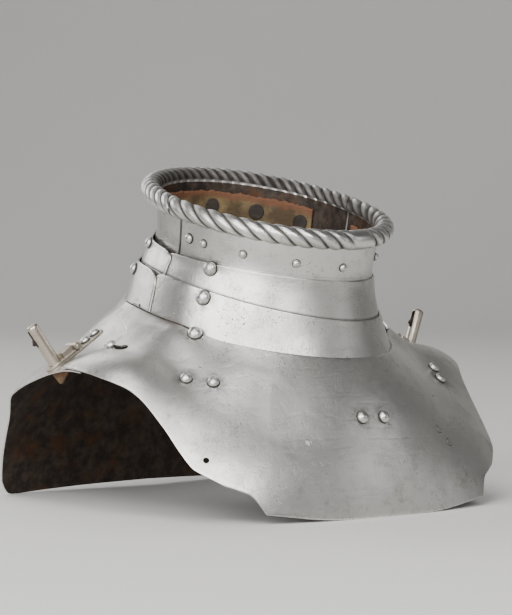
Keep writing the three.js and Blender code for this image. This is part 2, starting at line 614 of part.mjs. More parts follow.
for (const [name, solid] of Object.entries(bodies)) {
  add(name, solid, name.includes('leather') ? leather : steel);
}
for (const rivet of rivets) {
  add(rivet.name, rivetShape(rivet.head, rivet.dome, rivet.stack, rivet.seat), steel, rivet.matrix);
}
add('closing_stud', studShape, steel, studFrame);
add('pivot_rivet', rivetShape(3.4, 2.4, pivotStack, 0.4), steel, pivotFrame);

// The origin is the middle of the footprint, on the surface that the gorget stands on
const box = new THREE.Box3().setFromObject(gorget, true);
const middle = box.getCenter(new THREE.Vector3());
for (const mesh of gorget.children) {
  mesh.geometry.translate(-middle.x, -middle.y, -box.min.z);
}

export default gorget;
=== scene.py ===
"""Steel gorget: the looks of its lames, plates, roped rim, rivets, shoulder pegs and leather."""

from functools import partial
import json
import math

import bmesh
import bpy
from bpy.props import FloatProperty, FloatVectorProperty, IntProperty
from mathutils import Matrix, Vector, noise

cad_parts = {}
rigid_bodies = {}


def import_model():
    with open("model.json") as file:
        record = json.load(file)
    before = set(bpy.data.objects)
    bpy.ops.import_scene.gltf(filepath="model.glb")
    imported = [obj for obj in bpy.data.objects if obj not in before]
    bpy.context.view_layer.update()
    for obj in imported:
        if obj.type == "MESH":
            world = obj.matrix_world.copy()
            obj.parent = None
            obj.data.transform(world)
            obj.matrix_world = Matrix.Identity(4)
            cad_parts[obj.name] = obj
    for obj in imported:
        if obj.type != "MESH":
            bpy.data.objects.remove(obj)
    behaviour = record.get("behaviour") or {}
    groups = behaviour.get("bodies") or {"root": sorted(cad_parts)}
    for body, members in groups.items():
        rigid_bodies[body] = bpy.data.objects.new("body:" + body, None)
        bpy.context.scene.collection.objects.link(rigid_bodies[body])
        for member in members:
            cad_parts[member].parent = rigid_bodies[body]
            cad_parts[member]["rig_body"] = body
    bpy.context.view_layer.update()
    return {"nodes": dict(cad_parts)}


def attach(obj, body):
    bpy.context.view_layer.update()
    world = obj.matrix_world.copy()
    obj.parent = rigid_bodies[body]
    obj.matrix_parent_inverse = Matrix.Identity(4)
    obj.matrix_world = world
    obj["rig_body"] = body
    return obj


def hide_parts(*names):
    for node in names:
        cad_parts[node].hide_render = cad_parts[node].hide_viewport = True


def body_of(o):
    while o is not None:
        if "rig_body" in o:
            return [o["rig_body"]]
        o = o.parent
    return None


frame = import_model()

bl_info = {
    "name": "Steel Gorget",
    "version": (1, 0, 0),
    "blender": (4, 5, 0),
    "location": "View3D > Sidebar > Gorget",
    "description": "Builds the plates, roped rim, rivets, shoulder pegs and leather of a steel gorget",
    "category": "Object",
}

MM = 0.001
THIN = 1.2 * MM
GAP = 0.5 * MM
LAYER = THIN + GAP
LEATHER = 1.8 * MM
ORIGIN = Vector((1.7055, 2.0262, -0.0331)) * MM

# Neck rings from the rim down, in millimetres: bare half width, half depth, forward
# shift, heights at the front, side and back, and how far the right side stands up
RINGS = (
    {"width": 70.5, "depth": 77.0, "forward": 12.0, "front": 167.0, "side": 188.0, "back": 209.0, "lean": 0.0},
    {"width": 69.5, "depth": 75.5, "forward": 8.0, "front": 148.0, "side": 162.0, "back": 183.0, "lean": 3.0},
    {"width": 73.5, "depth": 81.5, "forward": 5.0, "front": 122.0, "side": 144.0, "back": 164.0, "lean": 6.0},
    {"width": 80.5, "depth": 91.0, "forward": 3.0, "front": 96.0, "side": 116.0, "back": 140.0, "lean": 2.0},
)
LAST = len(RINGS) - 1
# Free edges of the shoulder plates on one side, in millimetres: degrees round the
# neck and the points out from the middle, away from the neck, and height
FRONT_EDGE = (
    (0, 36, ((0, 134, 0), (46, 132.5, 0.6), (91, 125, 6))),
    (36, 47, ((91, 125, 6), (97, 121.5, 17), (106, 116.5, 21), (117, 109, 24))),
    (47, 90, ((117, 109, 24), (121, 101, 34), (132, 73, 59), (142, 46, 81), (149, 26, 88), (152, 4, 91),
              (152, -6, 91))),
)
BACK_EDGE = (
    (0, 40, ((0, 122, 4), (52, 127, 2.5), (106, 130, 0))),
    (40, 47, ((106, 130, 0), (117, 128, 1), (123, 123, 9))),
    (47, 100, ((123, 123, 9), (134, 108, 42), (141, 89, 65), (146, 65, 76), (149, 39, 84), (152, 16, 89),
               (153, 0, 91), (152, -14, 91))),
)
# Degrees that the shoulder plates fall where they leave the neck and where they end
LEAVING = {"front": 50.0, "side": 40.0, "back": 50.0, "lean": 0.0}
ENDING = {"front": 86.0, "side": 26.0, "back": 82.0, "lean": 5.0}
# Plates by layer: rank, which sides they lie outermost on, ends in degrees at the
# top and bottom on the wearer's right and left, and the levels that they span
PLATE_COLUMNS = ("rank", "outer", "right", "left", "span")
PLATES = {
    "front_top_lame": (0, {}, (-90, -90), (89, 89), (-0.15, 1.28)),
    "front_lame_2": (1, {"left": 1}, (-97, -97), (91, 91), (1, 2.28)),
    "front_lame_3": (2, {"left": 1}, (-97, -97), (91, 91), (2, 3.07)),
    "front_main_plate": (3, {"left": 1.3, "right": 1.3}, (-110, -90), (98, 90), (3, 4)),
    "back_top_lame": (0, {}, (-91.6, -91.6), (90, 90), (-0.15, 1.28)),
    "back_lame_2": (1, {"right": 1}, (-92, -92), (82, 82), (1, 2.28)),
    "back_lame_3": (2, {"right": 1}, (-94, -94), (82, 82), (2, 3.07)),
    "back_main_plate": (3, {}, (-80, -80), (80, 80), (3, 4)),
}
PLATES = {name: dict(zip(PLATE_COLUMNS, row)) for name, row in PLATES.items()}
# Columns and rows of the visible plates
GRIDS = {
    "front_lame_2": (260, 30),
    "front_lame_3": (260, 30),
    "front_main_plate": (320, 90),
    "back_lame_2": (220, 30),
    "back_lame_3": (220, 30),
    "back_main_plate": (280, 80),
}
# Lengths in millimetres of a degree round the neck and of a level down a lame
MM_PER_DEGREE = 1.4
MM_PER_LEVEL = 24
TOP_MM_PER_LEVEL = 20
# Rounding of the lames' upper corners, along the neck in millimetres and down as a share of their height
CORNER = 11.0
CORNER_DROP = 0.26
# Distance in millimetres that stands for no edge or seam near by
FAR = 99.0
# Width in millimetres of the flat ring round a rivet's foot, which is painted dark as shade
SHADED_FOOT = 0.4
# Rolled and roped rim in millimetres, and the strands that start round it
ROPE_RADIUS = 6.6
ROPE_OUT = 4.4
ROPE_ABOVE = 7.5
ROPE_STARTS = 3
STEEL_TINT = (0.68, 0.665, 0.635, 1)
PEG_TINT = (0.5, 0.445, 0.37, 1)
CATCH_TINT = (0.34, 0.305, 0.25, 1)
# Near-black of the painted shade, with some grime, in the gaps along the seams, round the keyhole and on cut
# walls
GAP_SHADE_AND_GRIME = (0.05, 0.042, 0.036, 1)


def half_of(name):
    """The body that a plate, or a rivet in it, rides on."""
    return "front_half" if name.startswith("front") else "back_half"


def smooth(x, low, high):
    t = min(max((x - low) / (high - low), 0.0), 1.0)
    return t * t * (3 - 2 * t)


def lerp(a, b, t):
    return a + (b - a) * t


def round_neck(values, angle):
    c = math.cos(angle)
    level = values["side"] + abs(c) * (values["front" if c >= 0 else "back"] - values["side"])
    return level - values["lean"] * math.sin(angle)


def ring_point(ring, angle):
    return Vector((
        ring["width"] * math.sin(angle),
        -ring["forward"] - ring["depth"] * math.cos(angle),
        round_neck(ring, angle),
    )) * MM


def curve_point(points, share):
    """A point of the centripetal curve through these points."""
    place = (len(points) - 1) * min(max(share, 0.0), 1.0)
    i = min(int(place), len(points) - 2)
    w = place - i
    p1 = Vector(points[i])
    p2 = Vector(points[i + 1])
    p0 = Vector(points[i - 1]) if i > 0 else 2 * p1 - p2
    p3 = Vector(points[i + 2]) if i + 2 < len(points) else 2 * p2 - p1
    d0 = math.sqrt((p1 - p0).length)
    d1 = math.sqrt((p2 - p1).length)
    d2 = math.sqrt((p3 - p2).length)
    m1 = ((p1 - p0) / d0 - (p2 - p0) / (d0 + d1) + (p2 - p1) / d1) * d1
    m2 = ((p2 - p1) / d1 - (p3 - p1) / (d1 + d2) + (p3 - p2) / d2) * d1
    return hermite(p1, m1, p2, m2, w)


def hermite(p0, m0, p1, m1, t):
    return (p0 * (2 * t ** 3 - 3 * t ** 2 + 1) + m0 * (t ** 3 - 2 * t ** 2 + t)
            + p1 * (3 * t ** 2 - 2 * t ** 3) + m1 * (t ** 3 - t ** 2))


def outline_point(outline, turn, side, ahead):
    low, high, points = next((s for s in outline if turn <= s[1]), outline[-1])
    p = curve_point(points, (turn - low) / (high - low))
    return Vector((side * p.x, ahead * p.y, p.z)) * MM


def turn_of(angle):
    return math.degrees(math.acos(min(max(math.cos(angle), -1.0), 1.0)))


def edge_point(angle):
    side = 1 if math.sin(angle) >= 0 else -1
    turn = turn_of(angle)
    front = outline_point(FRONT_EDGE, turn, side, -1)
    back = outline_point(BACK_EDGE, 180 - turn, side, 1)
    return front.lerp(back, smooth(turn, 80, 93))


EDGE_STEPS = 1440
EDGES = [edge_point(math.tau * i / EDGE_STEPS) for i in range(EDGE_STEPS)]
SPAN = EDGE_STEPS * 22 // 360


def softened(i):
    """The free edge averaged over a few degrees each way, so that its notches stay near the edge."""
    angle = math.tau * i / EDGE_STEPS
    turn = turn_of(angle)
    front = smooth(turn, 4, 22) * (1 - smooth(turn, 58, 74))
    back = smooth(turn, 112, 124) * (1 - smooth(turn, 152, 166))
    total = Vector((0, 0, 0))
    weights = 0.0
    for k in range(-SPAN, SPAN + 1, 2):
        weight = 1 + math.cos(math.pi * k / (SPAN + 1))
        total += EDGES[(i + k) % EDGE_STEPS] * weight
        weights += weight
    return EDGES[i].lerp(total / weights, front + back)


SOFT_EDGES = [softened(i) for i in range(EDGE_STEPS)]


def sample(table, angle):
    """The value at an angle of a table of points or numbers taken round the neck."""
    place = (angle / math.tau % 1) * EDGE_STEPS
    i = int(place)
    return lerp(table[i % EDGE_STEPS], table[(i + 1) % EDGE_STEPS], place - i)


def slope(out, degrees, length):
    a = math.radians(degrees)
    return Vector((out.x * math.cos(a), out.y * math.cos(a), -math.sin(a))) * length


def apron(angle, share):
    """The shoulder surface from the lowest ring to the softened edge, and straight on beyond it."""
    here = ring_point(RINGS[LAST], angle)
    end = sample(SOFT_EDGES, angle)
    out = end - here
    length = out.length
    out.z = 0
    out.normalize()
    ending = slope(out, round_neck(ENDING, angle), length)
    if share > 1:
        return end + ending * (share - 1)
    return hermite(here, slope(out, round_neck(LEAVING, angle), length), end, ending, share)


def solve_reach(i):
    """How far the surface runs at one angle to end at the height of the real edge."""
    angle = math.tau * i / EDGE_STEPS
    low, high = 0.8, 1.2
    if (SOFT_EDGES[i] - EDGES[i]).length < 0.05 * MM:
        return 1.0
    for _ in range(14):
        middle = (low + high) / 2
        if apron(angle, middle).z > EDGES[i].z:
            low = middle
        else:
            high = middle
    return (low + high) / 2


REACHES = [solve_reach(i) for i in range(EDGE_STEPS)]


def bare(angle, level):
    """The bare surface of the gorget, a level for each ring and one for the free edge."""
    i = min(max(math.floor(level), 0), LAST)
    here = ring_point(RINGS[i], angle)
    if i == LAST:
        return apron(angle, (level - LAST) * sample(REACHES, angle))
    after = ring_point(RINGS[i + 1], angle)
    if level < 0:
        return here + (after - here) * level
    before = ring_point(RINGS[i - 1], angle) if i > 0 else 2 * here - after
    beyond = ring_point(RINGS[min(i + 2, LAST)], angle)
    return hermite(here, (after - before) / 2, after, (beyond - here) / 2, level - i)


def normal_of(surface, angle, level):
    """The outward normal of a surface that takes an angle and a level."""
    d = 0.01
    across = surface(angle + d, level) - surface(angle - d, level)
    down = surface(angle, level + d) - surface(angle, level - d)
    return down.cross(across).normalized()


def layers_out(plate, angle, level):
    turn = turn_of(angle)
    opened = smooth(turn, 56, 78) * (1 - smooth(turn, 112, 134))
    outer = plate["outer"].get("right" if math.sin(angle) < 0 else "left", 0)
    neck = plate["rank"] + opened * (plate["rank"] + outer)
    return lerp(neck, 1 + opened * outer, smooth(level, 3.15, 3.6))


def on_plate(plate, angle, level, depth=0.0):
    out = layers_out(plate, angle, level) * LAYER - depth
    return bare(angle, level) + normal_of(bare, angle, level) * out + ORIGIN


def frame_at(plate, angle, level):
    z = normal_of(partial(on_plate, plate), angle, level)
    x = Vector((math.sin(angle), -math.cos(angle), 0))
    x = (x - z * x.dot(z)).normalized()
    y = z.cross(x)
    turned = Matrix((x, y, z)).transposed().to_4x4()
    return Matrix.Translation(on_plate(plate, angle, level)) @ turned


def locate(plate, x, y):
    """The angle and level where a plate passes over a plan point given in millimetres."""
    goal = Vector((x, y, 0)) * MM + ORIGIN
    angle = math.atan2(x, -y)
    level = 3.5
    step = 0.001
    for _ in range(40):
        p = on_plate(plate, angle, level)
        pa = (on_plate(plate, angle + step, level) - p) / step
        pl = (on_plate(plate, angle, level + step) - p) / step
        ex = goal.x - p.x
        ey = goal.y - p.y
        det = pa.x * pl.y - pl.x * pa.y
        angle += 0.7 * min(max((ex * pl.y - pl.x * ey) / det, -0.2), 0.2)
        level += 0.7 * min(max((pa.x * ey - ex * pa.y) / det, -0.2), 0.2)
        level = min(max(level, 3.01), 3.99)
    return angle, level


def frame_over(name, plan):
    """The frame of a plate where it passes over a plan point."""
    return frame_at(PLATES[name], *locate(PLATES[name], *plan))


# Rivets through the plates: the plate, its place as degrees and level or as a plan
# point in millimetres, head radius, height of the dome and its seat above the plate
RIVET_COLUMNS = ("on", "at", "plan", "head", "dome", "seat")
RIVETS = {
    "lining_rivet_right_rear": ("front_top_lame", (-84, 0.45), None, 3.2, 2.5, 0.3),
    "lining_rivet_right": ("front_top_lame", (-74.5, 0.47), None, 2.6, 2.4, 0.3),
    "lining_rivet_front_right": ("front_top_lame", (-52.5, 0.5), None, 2.6, 2.4, 0.3),
    "lining_rivet_front": ("front_top_lame", (-25, 0.52), None, 2.6, 2.4, 0.3),
    "lining_rivet_front_left": ("front_top_lame", (3, 0.56), None, 2.6, 2.4, 0.3),
    "lining_rivet_left": ("front_top_lame", (45, 0.45), None, 2.6, 2.4, 0.3),
    "lame_rivet_right_1": ("front_lame_2", (-67.6, 1.2), None, 4.7, 3.9, 0.35),
    "lame_rivet_right_2": ("front_lame_3", (-67.6, 2.16), None, 4.8, 4.0, 0.35),
    "lame_rivet_right_3": ("front_main_plate", (-68, 3.055), None, 4.8, 4.0, 0.35),
    "back_lame_rivet_1": ("back_lame_2", (-116, 1.2), None, 3.8, 3.5, 0.25),
    "back_lame_rivet_2": ("back_lame_3", (-116, 2.2), None, 3.8, 3.5, 0.25),
    "strap_rivet_right_1": ("front_main_plate", None, (-104, -60), 4.0, 3.4, 0.4),
    "strap_rivet_right_2": ("front_main_plate", None, (-91.5, -72), 4.0, 3.4, 0.4),
    "strap_rivet_centre_1": ("front_main_plate", None, (-9, -119.5), 4.0, 3.4, 0.4),
    "strap_rivet_centre_2": ("front_main_plate", None, (9, -119.5), 4.0, 3.4, 0.4),
    "strap_rivet_left_1": ("front_main_plate", None, (110, -55), 3.9, 3.2, 0.4),
    "strap_rivet_left_2": ("front_main_plate", None, (107, -64.5), 3.9, 3.2, 0.4),
    "flush_rivet_1": ("front_main_plate", None, (62.5, -113), 2.6, 0.4, 0.05),
    "flush_rivet_2": ("front_main_plate", None, (69, -116), 2.6, 0.4, 0.05),
}
RIVETS = {name: dict(zip(RIVET_COLUMNS, row)) for name, row in RIVETS.items()}
# Rivets of the plates and lames with dark stains spreading round them
STAINED = ("lame_rivet_right_1", "lame_rivet_right_2", "lame_rivet_right_3", "strap_rivet_right_1",
           "strap_rivet_right_2", "strap_rivet_centre_1", "strap_rivet_centre_2", "strap_rivet_left_2")
# Bare holes through the front plate, by radius and plan place in millimetres
HOLES = (
    {"radius": 2.0, "plan": (-52.5, -118.5)},
    {"radius": 2.0, "plan": (-118, -99)},
    {"radius": 0.9, "plan": (75, -94)},
)
# Hinge of each shoulder fitting, and which way along the strip its catch faces
FITTINGS = {
    "right": {"hinge": (-135.547, 18.454, 106.55), "sign": -1, "catch": 1, "peg": (-0.55, 0.12, 0.83)},
    "left": {"hinge": (137.673, 18.374, 103.752), "sign": 1, "catch": -1, "peg": (0.42, 0.12, 0.9)},
}
STRIP_THICK = 1.6
STRIP_WIDE = 13.0
STRIP_IN = -23
STRIP_OUT = 25
LEAF_GAP = 0.3
KNUCKLE = 2.5
KNUCKLE_HALF = STRIP_WIDE / 6
PIN_RADIUS = 1.1
HINGE_UP = STRIP_THICK + LEAF_GAP + KNUCKLE
PEG_AT = 17.5
PEG_RADIUS = 4.3
PEG_FOOT = STRIP_THICK + LEAF_GAP + STRIP_THICK
PEG_LONG = 29.5
CATCH_UP = PEG_LONG - 4.5
# Half sections as radius and height in millimetres, and the catch's outline from its pin
STUD_PROFILE = ((0, -2.2), (2.9, -2.1), (3, -1.5), (1.9, -1.5), (1.9, 3.0), (3.7, 3.3), (3.9, 3.6),
                (3.6, 4.6), (2.9, 5.4), (1.8, 5.9), (0, 6.1))
PEG_PROFILE = ((0, -0.3), (PEG_RADIUS, -0.3), (PEG_RADIUS, 0.4), (PEG_RADIUS - 0.25, 1.2),
               (PEG_RADIUS - 0.2, 14), (PEG_RADIUS - 0.1, PEG_LONG - 2.4), (PEG_RADIUS - 0.35, PEG_LONG - 1.2),
               (PEG_RADIUS - 1.2, PEG_LONG - 0.35), (PEG_RADIUS - 2.4, PEG_LONG - 0.08), (0, PEG_LONG))
DISC_PROFILE = ((0, -0.6), (5.1, -0.6), (5.3, -0.3), (5.3, 0.6), (4.8, 1.1), (1.2, 1.3), (0, 1.3))
CATCH_OUTLINE = ((-1.1, 1.4), (1.1, 1.4), (2.7, -1.4), (3.9, -3.5), (5.3, -5.6), (6.2, -7.3), (5.6, -8.2),
                 (3.4, -8.5), (0.2, -8.5), (-1.1, -2))
TAB_HIGH = 3.6
STUD_PLAN = (-120, -2)
PIVOT_PLAN = (124, -2)
SLOT_BEHIND = 5.0
SLOT_AHEAD = 11.0
SLOT_HALF = 2.4
KEYHOLE = 4.3
# Millimetres round the keyhole within which the back plate, seen through the slot, is painted dark as shade
KEYHOLE_SHADE = 11
STUD_AT = frame_over("back_main_plate", STUD_PLAN)


class Wire:
    """A shader socket, with arithmetic that adds Math nodes."""

    def __init__(self, tree, socket):
        self.tree = tree
        self.socket = socket

    def node(self, kind, settings=(), inputs=(), output=0):
        """Adds a node, sets its properties and then its sockets, and gives one of its outputs."""
        made = self.tree.nodes.new(kind)
        for name, value in dict(settings).items():
            setattr(made, name, value)
        for name, value in dict(inputs).items():
            if isinstance(value, Wire):
                self.tree.links.new(value.socket, made.inputs[name])
            else:
                made.inputs[name].default_value = value
        return Wire(self.tree, made.outputs[output])

    def maths(self, operation, *values):
        return self.node("ShaderNodeMath", {"operation": operation}, dict(enumerate(values)))

    def __add__(self, other):
        return self.maths("ADD", self, other)

    def __radd__(self, other):
        return self.maths("ADD", other, self)

    def __sub__(self, other):
        return self.maths("SUBTRACT", self, other)

    def __rsub__(self, other):
        return self.maths("SUBTRACT", other, self)

    def __mul__(self, other):
        return self.maths("MULTIPLY", self, other)

    def __rmul__(self, other):
        return self.maths("MULTIPLY", other, self)

    def clamp(self):
        return self.node("ShaderNodeClamp", (), {"Value": self})

    def ramp(self, low, high):
        """0 below low, 1 above high and smooth between."""
        inputs = {"Value": self, "From Min": low, "From Max": high, "To Min": 0.0, "To Max": 1.0}
        return self.node("ShaderNodeMapRange", {"interpolation_type": "SMOOTHSTEP"}, inputs)

    def mix(self, first, second):
        """Colour from first to second as this factor goes from 0 to 1."""
        made = self.tree.nodes.new("ShaderNodeMix")
        made.data_type = "RGBA"
        for index, value in ((0, self), (6, first), (7, second)):
            if isinstance(value, Wire):
                self.tree.links.new(value.socket, made.inputs[index])
            else:
                made.inputs[index].default_value = value
        return Wire(self.tree, made.outputs[2])


class Material:
    """A material under way: its tree, its place in space and its Principled shader."""

    def __init__(self, name):
        self.made = bpy.data.materials.new(name)
        self.made.use_nodes = True
        self.tree = self.made.node_tree
        self.shader = self.tree.nodes["Principled BSDF"]
        self.root = Wire(self.tree, None)
        self.place = self.root.node("ShaderNodeTexCoord", output="Object")

    def noise(self, scale, detail=4.0, roughness=0.55, stretch=(1, 1, 1), shift=0.0, distort=0.0):
        inputs = {"Vector": self.place, "Location": (shift, shift, shift), "Scale": stretch}
        where = self.root.node("ShaderNodeMapping", (), inputs)
        inputs = {"Vector": where, "Scale": scale, "Detail": detail, "Roughness": roughness,
                  "Distortion": distort}
        return self.root.node("ShaderNodeTexNoise", (), inputs)

    def spots(self, scale, shift=0.0):
        inputs = {"Vector": self.place, "Location": (shift, shift, shift)}
        where = self.root.node("ShaderNodeMapping", (), inputs)
        return self.root.node("ShaderNodeTexVoronoi", (), {"Vector": where, "Scale": scale, "Randomness": 1.0})

    def value(self, attribute):
        return self.root.node("ShaderNodeAttribute", {"attribute_name": attribute}, output="Fac")

    def near(self, point, radius):
        """1 at a point given in metres, falling to 0 at the radius."""
        inputs = {0: self.place, 1: point}
        away = self.root.node("ShaderNodeVectorMath", {"operation": "DISTANCE"}, inputs, "Value")
        return 1 - away.ramp(0.0, radius)

    def bump(self, height, distance, strength=1.0, normal=None):
        inputs = {"Height": height, "Distance": distance, "Strength": strength}
        if normal:
            inputs["Normal"] = normal
        return self.root.node("ShaderNodeBump", (), inputs)

    def finish(self, **sockets):
        for name, value in sockets.items():
            target = self.shader.inputs[name.replace("_", " ")]
            if isinstance(value, Wire):
                self.tree.links.new(value.socket, target)
            else:
                target.default_value = value
        return self.made


def steel_material(name, settings, tint, worn=True):
    """Bright hand-finished steel: soft hammering, grey stains, dark pits and fine scratches; when worn, also
    edges lightened partly as wear and partly as painted highlight, painted shade with some grime along the
    seams, round the keyhole and on cut walls, stains round rivets and rust.
    """
    m = Material(name)
    broad = m.noise(16, 3, 0.6)
    cloud = m.noise(60, 6, 0.65, shift=0.3)
    fine = m.noise(420, 5, 0.7, shift=0.7)
    grime = m.noise(150, 6, 0.75, shift=1.7)
    pits = (0.27 - m.spots(420, 0.2)).ramp(0.0, 0.2) * m.noise(45, 3, 0.6, shift=2.2).ramp(0.48, 0.7)
    specks = (0.26 - m.spots(900, 0.9)).ramp(0.0, 0.12) * cloud.ramp(0.4, 0.6)
    hairs = m.noise(240, 2, 0.5, (0.12, 1, 1), 0.5).ramp(0.56, 0.66)
    cross = m.noise(260, 2, 0.5, (1, 1, 0.1), 1.5).ramp(0.58, 0.68)
    stain = (broad.ramp(0.42, 0.72) * 0.6 + cloud.ramp(0.5, 0.75) * 0.5) * settings.stains
    colour = stain.clamp().mix(tint, (tint[0] * 0.5, tint[1] * 0.49, tint[2] * 0.48, 1))
    colour = (grime.ramp(0.6, 0.72) * 0.4 * settings.stains).mix(colour, (0.13, 0.105, 0.085, 1))
    dark = ((pits + specks * 0.7) * settings.pits).clamp()
    colour = dark.mix(colour, (0.045, 0.036, 0.03, 1))
    rough = 0.25 + broad * 0.1 + stain * 0.2 + dark * 0.3 + fine * 0.1
    height = broad * 0.9 + cloud * 0.12 - dark * 0.12 + fine * 0.02 - hairs * 0.03 - cross * 0.02
    if worn:
        edge = m.value("edge_mm")
        seam = m.value("seam_mm")
        # Painted shade with some grime: near-black close to a seam's gap, round the keyhole and on cut walls
        gap_shade_and_grime = (1 - seam.ramp(0.2, 2.4)) * (0.5 + grime * 0.8)
        colour = gap_shade_and_grime.clamp().mix(colour, GAP_SHADE_AND_GRIME)
        # Edges lightened, partly as wear and partly as painted highlight where they catch the light
        edge_wear_and_highlight = (1 - edge.ramp(0.1, 0.7)) * (1 - grime.ramp(0.5, 0.66) * 0.8)
        colour = (edge_wear_and_highlight * 0.4).mix(colour, (0.8, 0.78, 0.74, 1))
        rough = rough + gap_shade_and_grime * 0.25 - edge_wear_and_highlight * 0.08
        for rivet in STAINED:
            halo = m.near(rivet_matrix(RIVETS[rivet]).translation, 0.013) * grime.ramp(0.4, 0.6)
            colour = (halo * 0.85).mix(colour, (0.06, 0.048, 0.04, 1))
        rust = (1 - edge.ramp(1.0, 9.0)) * grime.ramp(0.52, 0.64) * 0.22
        colour = rust.mix(colour, (0.2, 0.15, 0.105, 1))
    return m.finish(Base_Color=colour, Metallic=1.0, Roughness=rough.clamp(), Normal=m.bump(height, 0.0012))


def inside_material(name, settings):
    """The unpolished inner faces: dark scale with brown rust."""
    m = Material(name)
    scale = m.noise(120, 6, 0.7)
    rust = m.noise(48, 5, 0.65, shift=4.0)
    colour = scale.ramp(0.35, 0.7).mix((0.035, 0.028, 0.024, 1), (0.1, 0.075, 0.058, 1))
    colour = (rust.ramp(0.5, 0.72) * 0.8).mix(colour, (0.11, 0.048, 0.02, 1))
    rough = 0.5 + scale * 0.35
    return m.finish(Base_Color=colour, Metallic=0.75, Roughness=rough.clamp(), Normal=m.bump(scale, 0.0006))


def leather_material(name, settings, body, edge):
    """Old leather: creases, dark stains, and a frayed lighter upper edge read from the band's own height."""
    m = Material(name)
    down = m.value("down")
    grain = m.spots(900, 0.4)
    crease = m.noise(90, 5, 0.7, (1, 1, 2.2), 0.6, 0.6)
    blot = m.noise(35, 4, 0.6, shift=3.1)
    colour = blot.ramp(0.36, 0.6).mix(body, (body[0] * 0.3, body[1] * 0.27, body[2] * 0.25, 1))
    colour = (crease.ramp(0.55, 0.68) * 0.6).mix(colour, (0.045, 0.03, 0.02, 1))
    ragged = (1 - (down + (crease - 0.5) * 0.5).ramp(0.08, 0.3)) * settings.edge_colour
    colour = ragged.clamp().mix(colour, edge)
    height = crease * 0.8 - grain * 0.15
    return m.finish(Base_Color=colour, Metallic=0.0, Roughness=(0.62 + blot * 0.3).clamp(),
                    Normal=m.bump(height, 0.0008))


def rope_material(name, settings, worn):
    """The plates' steel, with painted shade in the rope's grooves, on the roll's inner side and round a
    rivet's foot, and rubbed crests.
    """
    made = steel_material(name, settings, STEEL_TINT, worn)
    tree = made.node_tree
    root = Wire(tree, None)
    groove = root.node("ShaderNodeAttribute", {"attribute_name": "groove"}, output="Fac")
    shader = tree.nodes["Principled BSDF"]
    was = Wire(tree, shader.inputs["Base Color"].links[0].from_socket)
    # Painted shade: near-black in the rope's grooves, on the roll's inner side and on the ring round a rivet's
    # foot
    groove_shade = (1 - groove.ramp(0.2, 0.85)) * 0.93
    tree.links.new(groove_shade.mix(was, (0.028, 0.022, 0.018, 1)).socket, shader.inputs["Base Color"])
    rough = Wire(tree, shader.inputs["Roughness"].links[0].from_socket)
    rubbed = (rough + groove_shade * 0.35 - groove.ramp(0.85, 1.0) * 0.05).clamp()
    tree.links.new(rubbed.socket, shader.inputs["Roughness"])
    return made


LOOKS = {
    "steel_plate": (steel_material, STEEL_TINT),
    "steel_fittings": (steel_material, STEEL_TINT, False),
    "steel_pegs": (steel_material, PEG_TINT, False),
    "dark_iron": (steel_material, CATCH_TINT, False),
    "steel_inside": (inside_material,),
    "steel_roped": (rope_material, True),
    "steel_rivets": (rope_material, False),
}


def shared_material(name, maker, *values):
    return bpy.data.materials.get(name) or maker(name, *values)


def look(name):
    maker, *values = LOOKS[name]
    return shared_material(name, maker, bpy.context.scene.gorget, *values)


def make_object(name, bm, material, body, replaced=(), smooth_angle=40.0, at=Matrix()):
    """Closes a bmesh into a finished piece that rides on its body."""
    bmesh.ops.transform(bm, matrix=at, verts=bm.verts)
    bmesh.ops.recalc_face_normals(bm, faces=bm.faces)
    mesh = bpy.data.meshes.new(name)
    bm.to_mesh(mesh)
    bm.free()
    mesh.materials.append(material)
    mesh.shade_smooth()
    mesh.set_sharp_from_angle(angle=math.radians(smooth_angle))
    made = bpy.data.objects.new(name, mesh)
    bpy.context.scene.collection.objects.link(made)
    if replaced:
        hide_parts(*replaced)
    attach(made, body)
    return made


def layer_of(bm, name):
    """A new layer of numbers on the vertices, which the materials read by name."""
    return bm.verts.layers.float.new(name)


def unit_grid(bm, columns, rows):
    """A grid of vertices whose x and y run from 0 to 1."""
    made = bmesh.ops.create_grid(bm, x_segments=columns, y_segments=rows, size=0.5)["verts"]
    bmesh.ops.translate(bm, verts=made, vec=(0.5, 0.5, 0))
    return made


def plate_ends(plate, share):
    blend = smooth(share, 0.05, 0.4)
    return lerp(*plate["right"], blend), lerp(*plate["left"], blend)


def tucked(name, turned):
    """How many levels a plate's upper and lower edges stop short where another plate hides them."""
    if name == "front_lame_3":
        return 0.0, 0.07 * smooth(turned, 70, 78) + 0.13 * smooth(-turned, 92, 94)
    if name == "back_lame_3":
        return 0.0, 0.16 * (1 - smooth(turned, 90, 93))
    if name == "back_main_plate":
        return 0.13 * (1 - smooth(turned, 93, 98) + smooth(turned, 251, 256)), 0.0
    return 0.0, 0.0


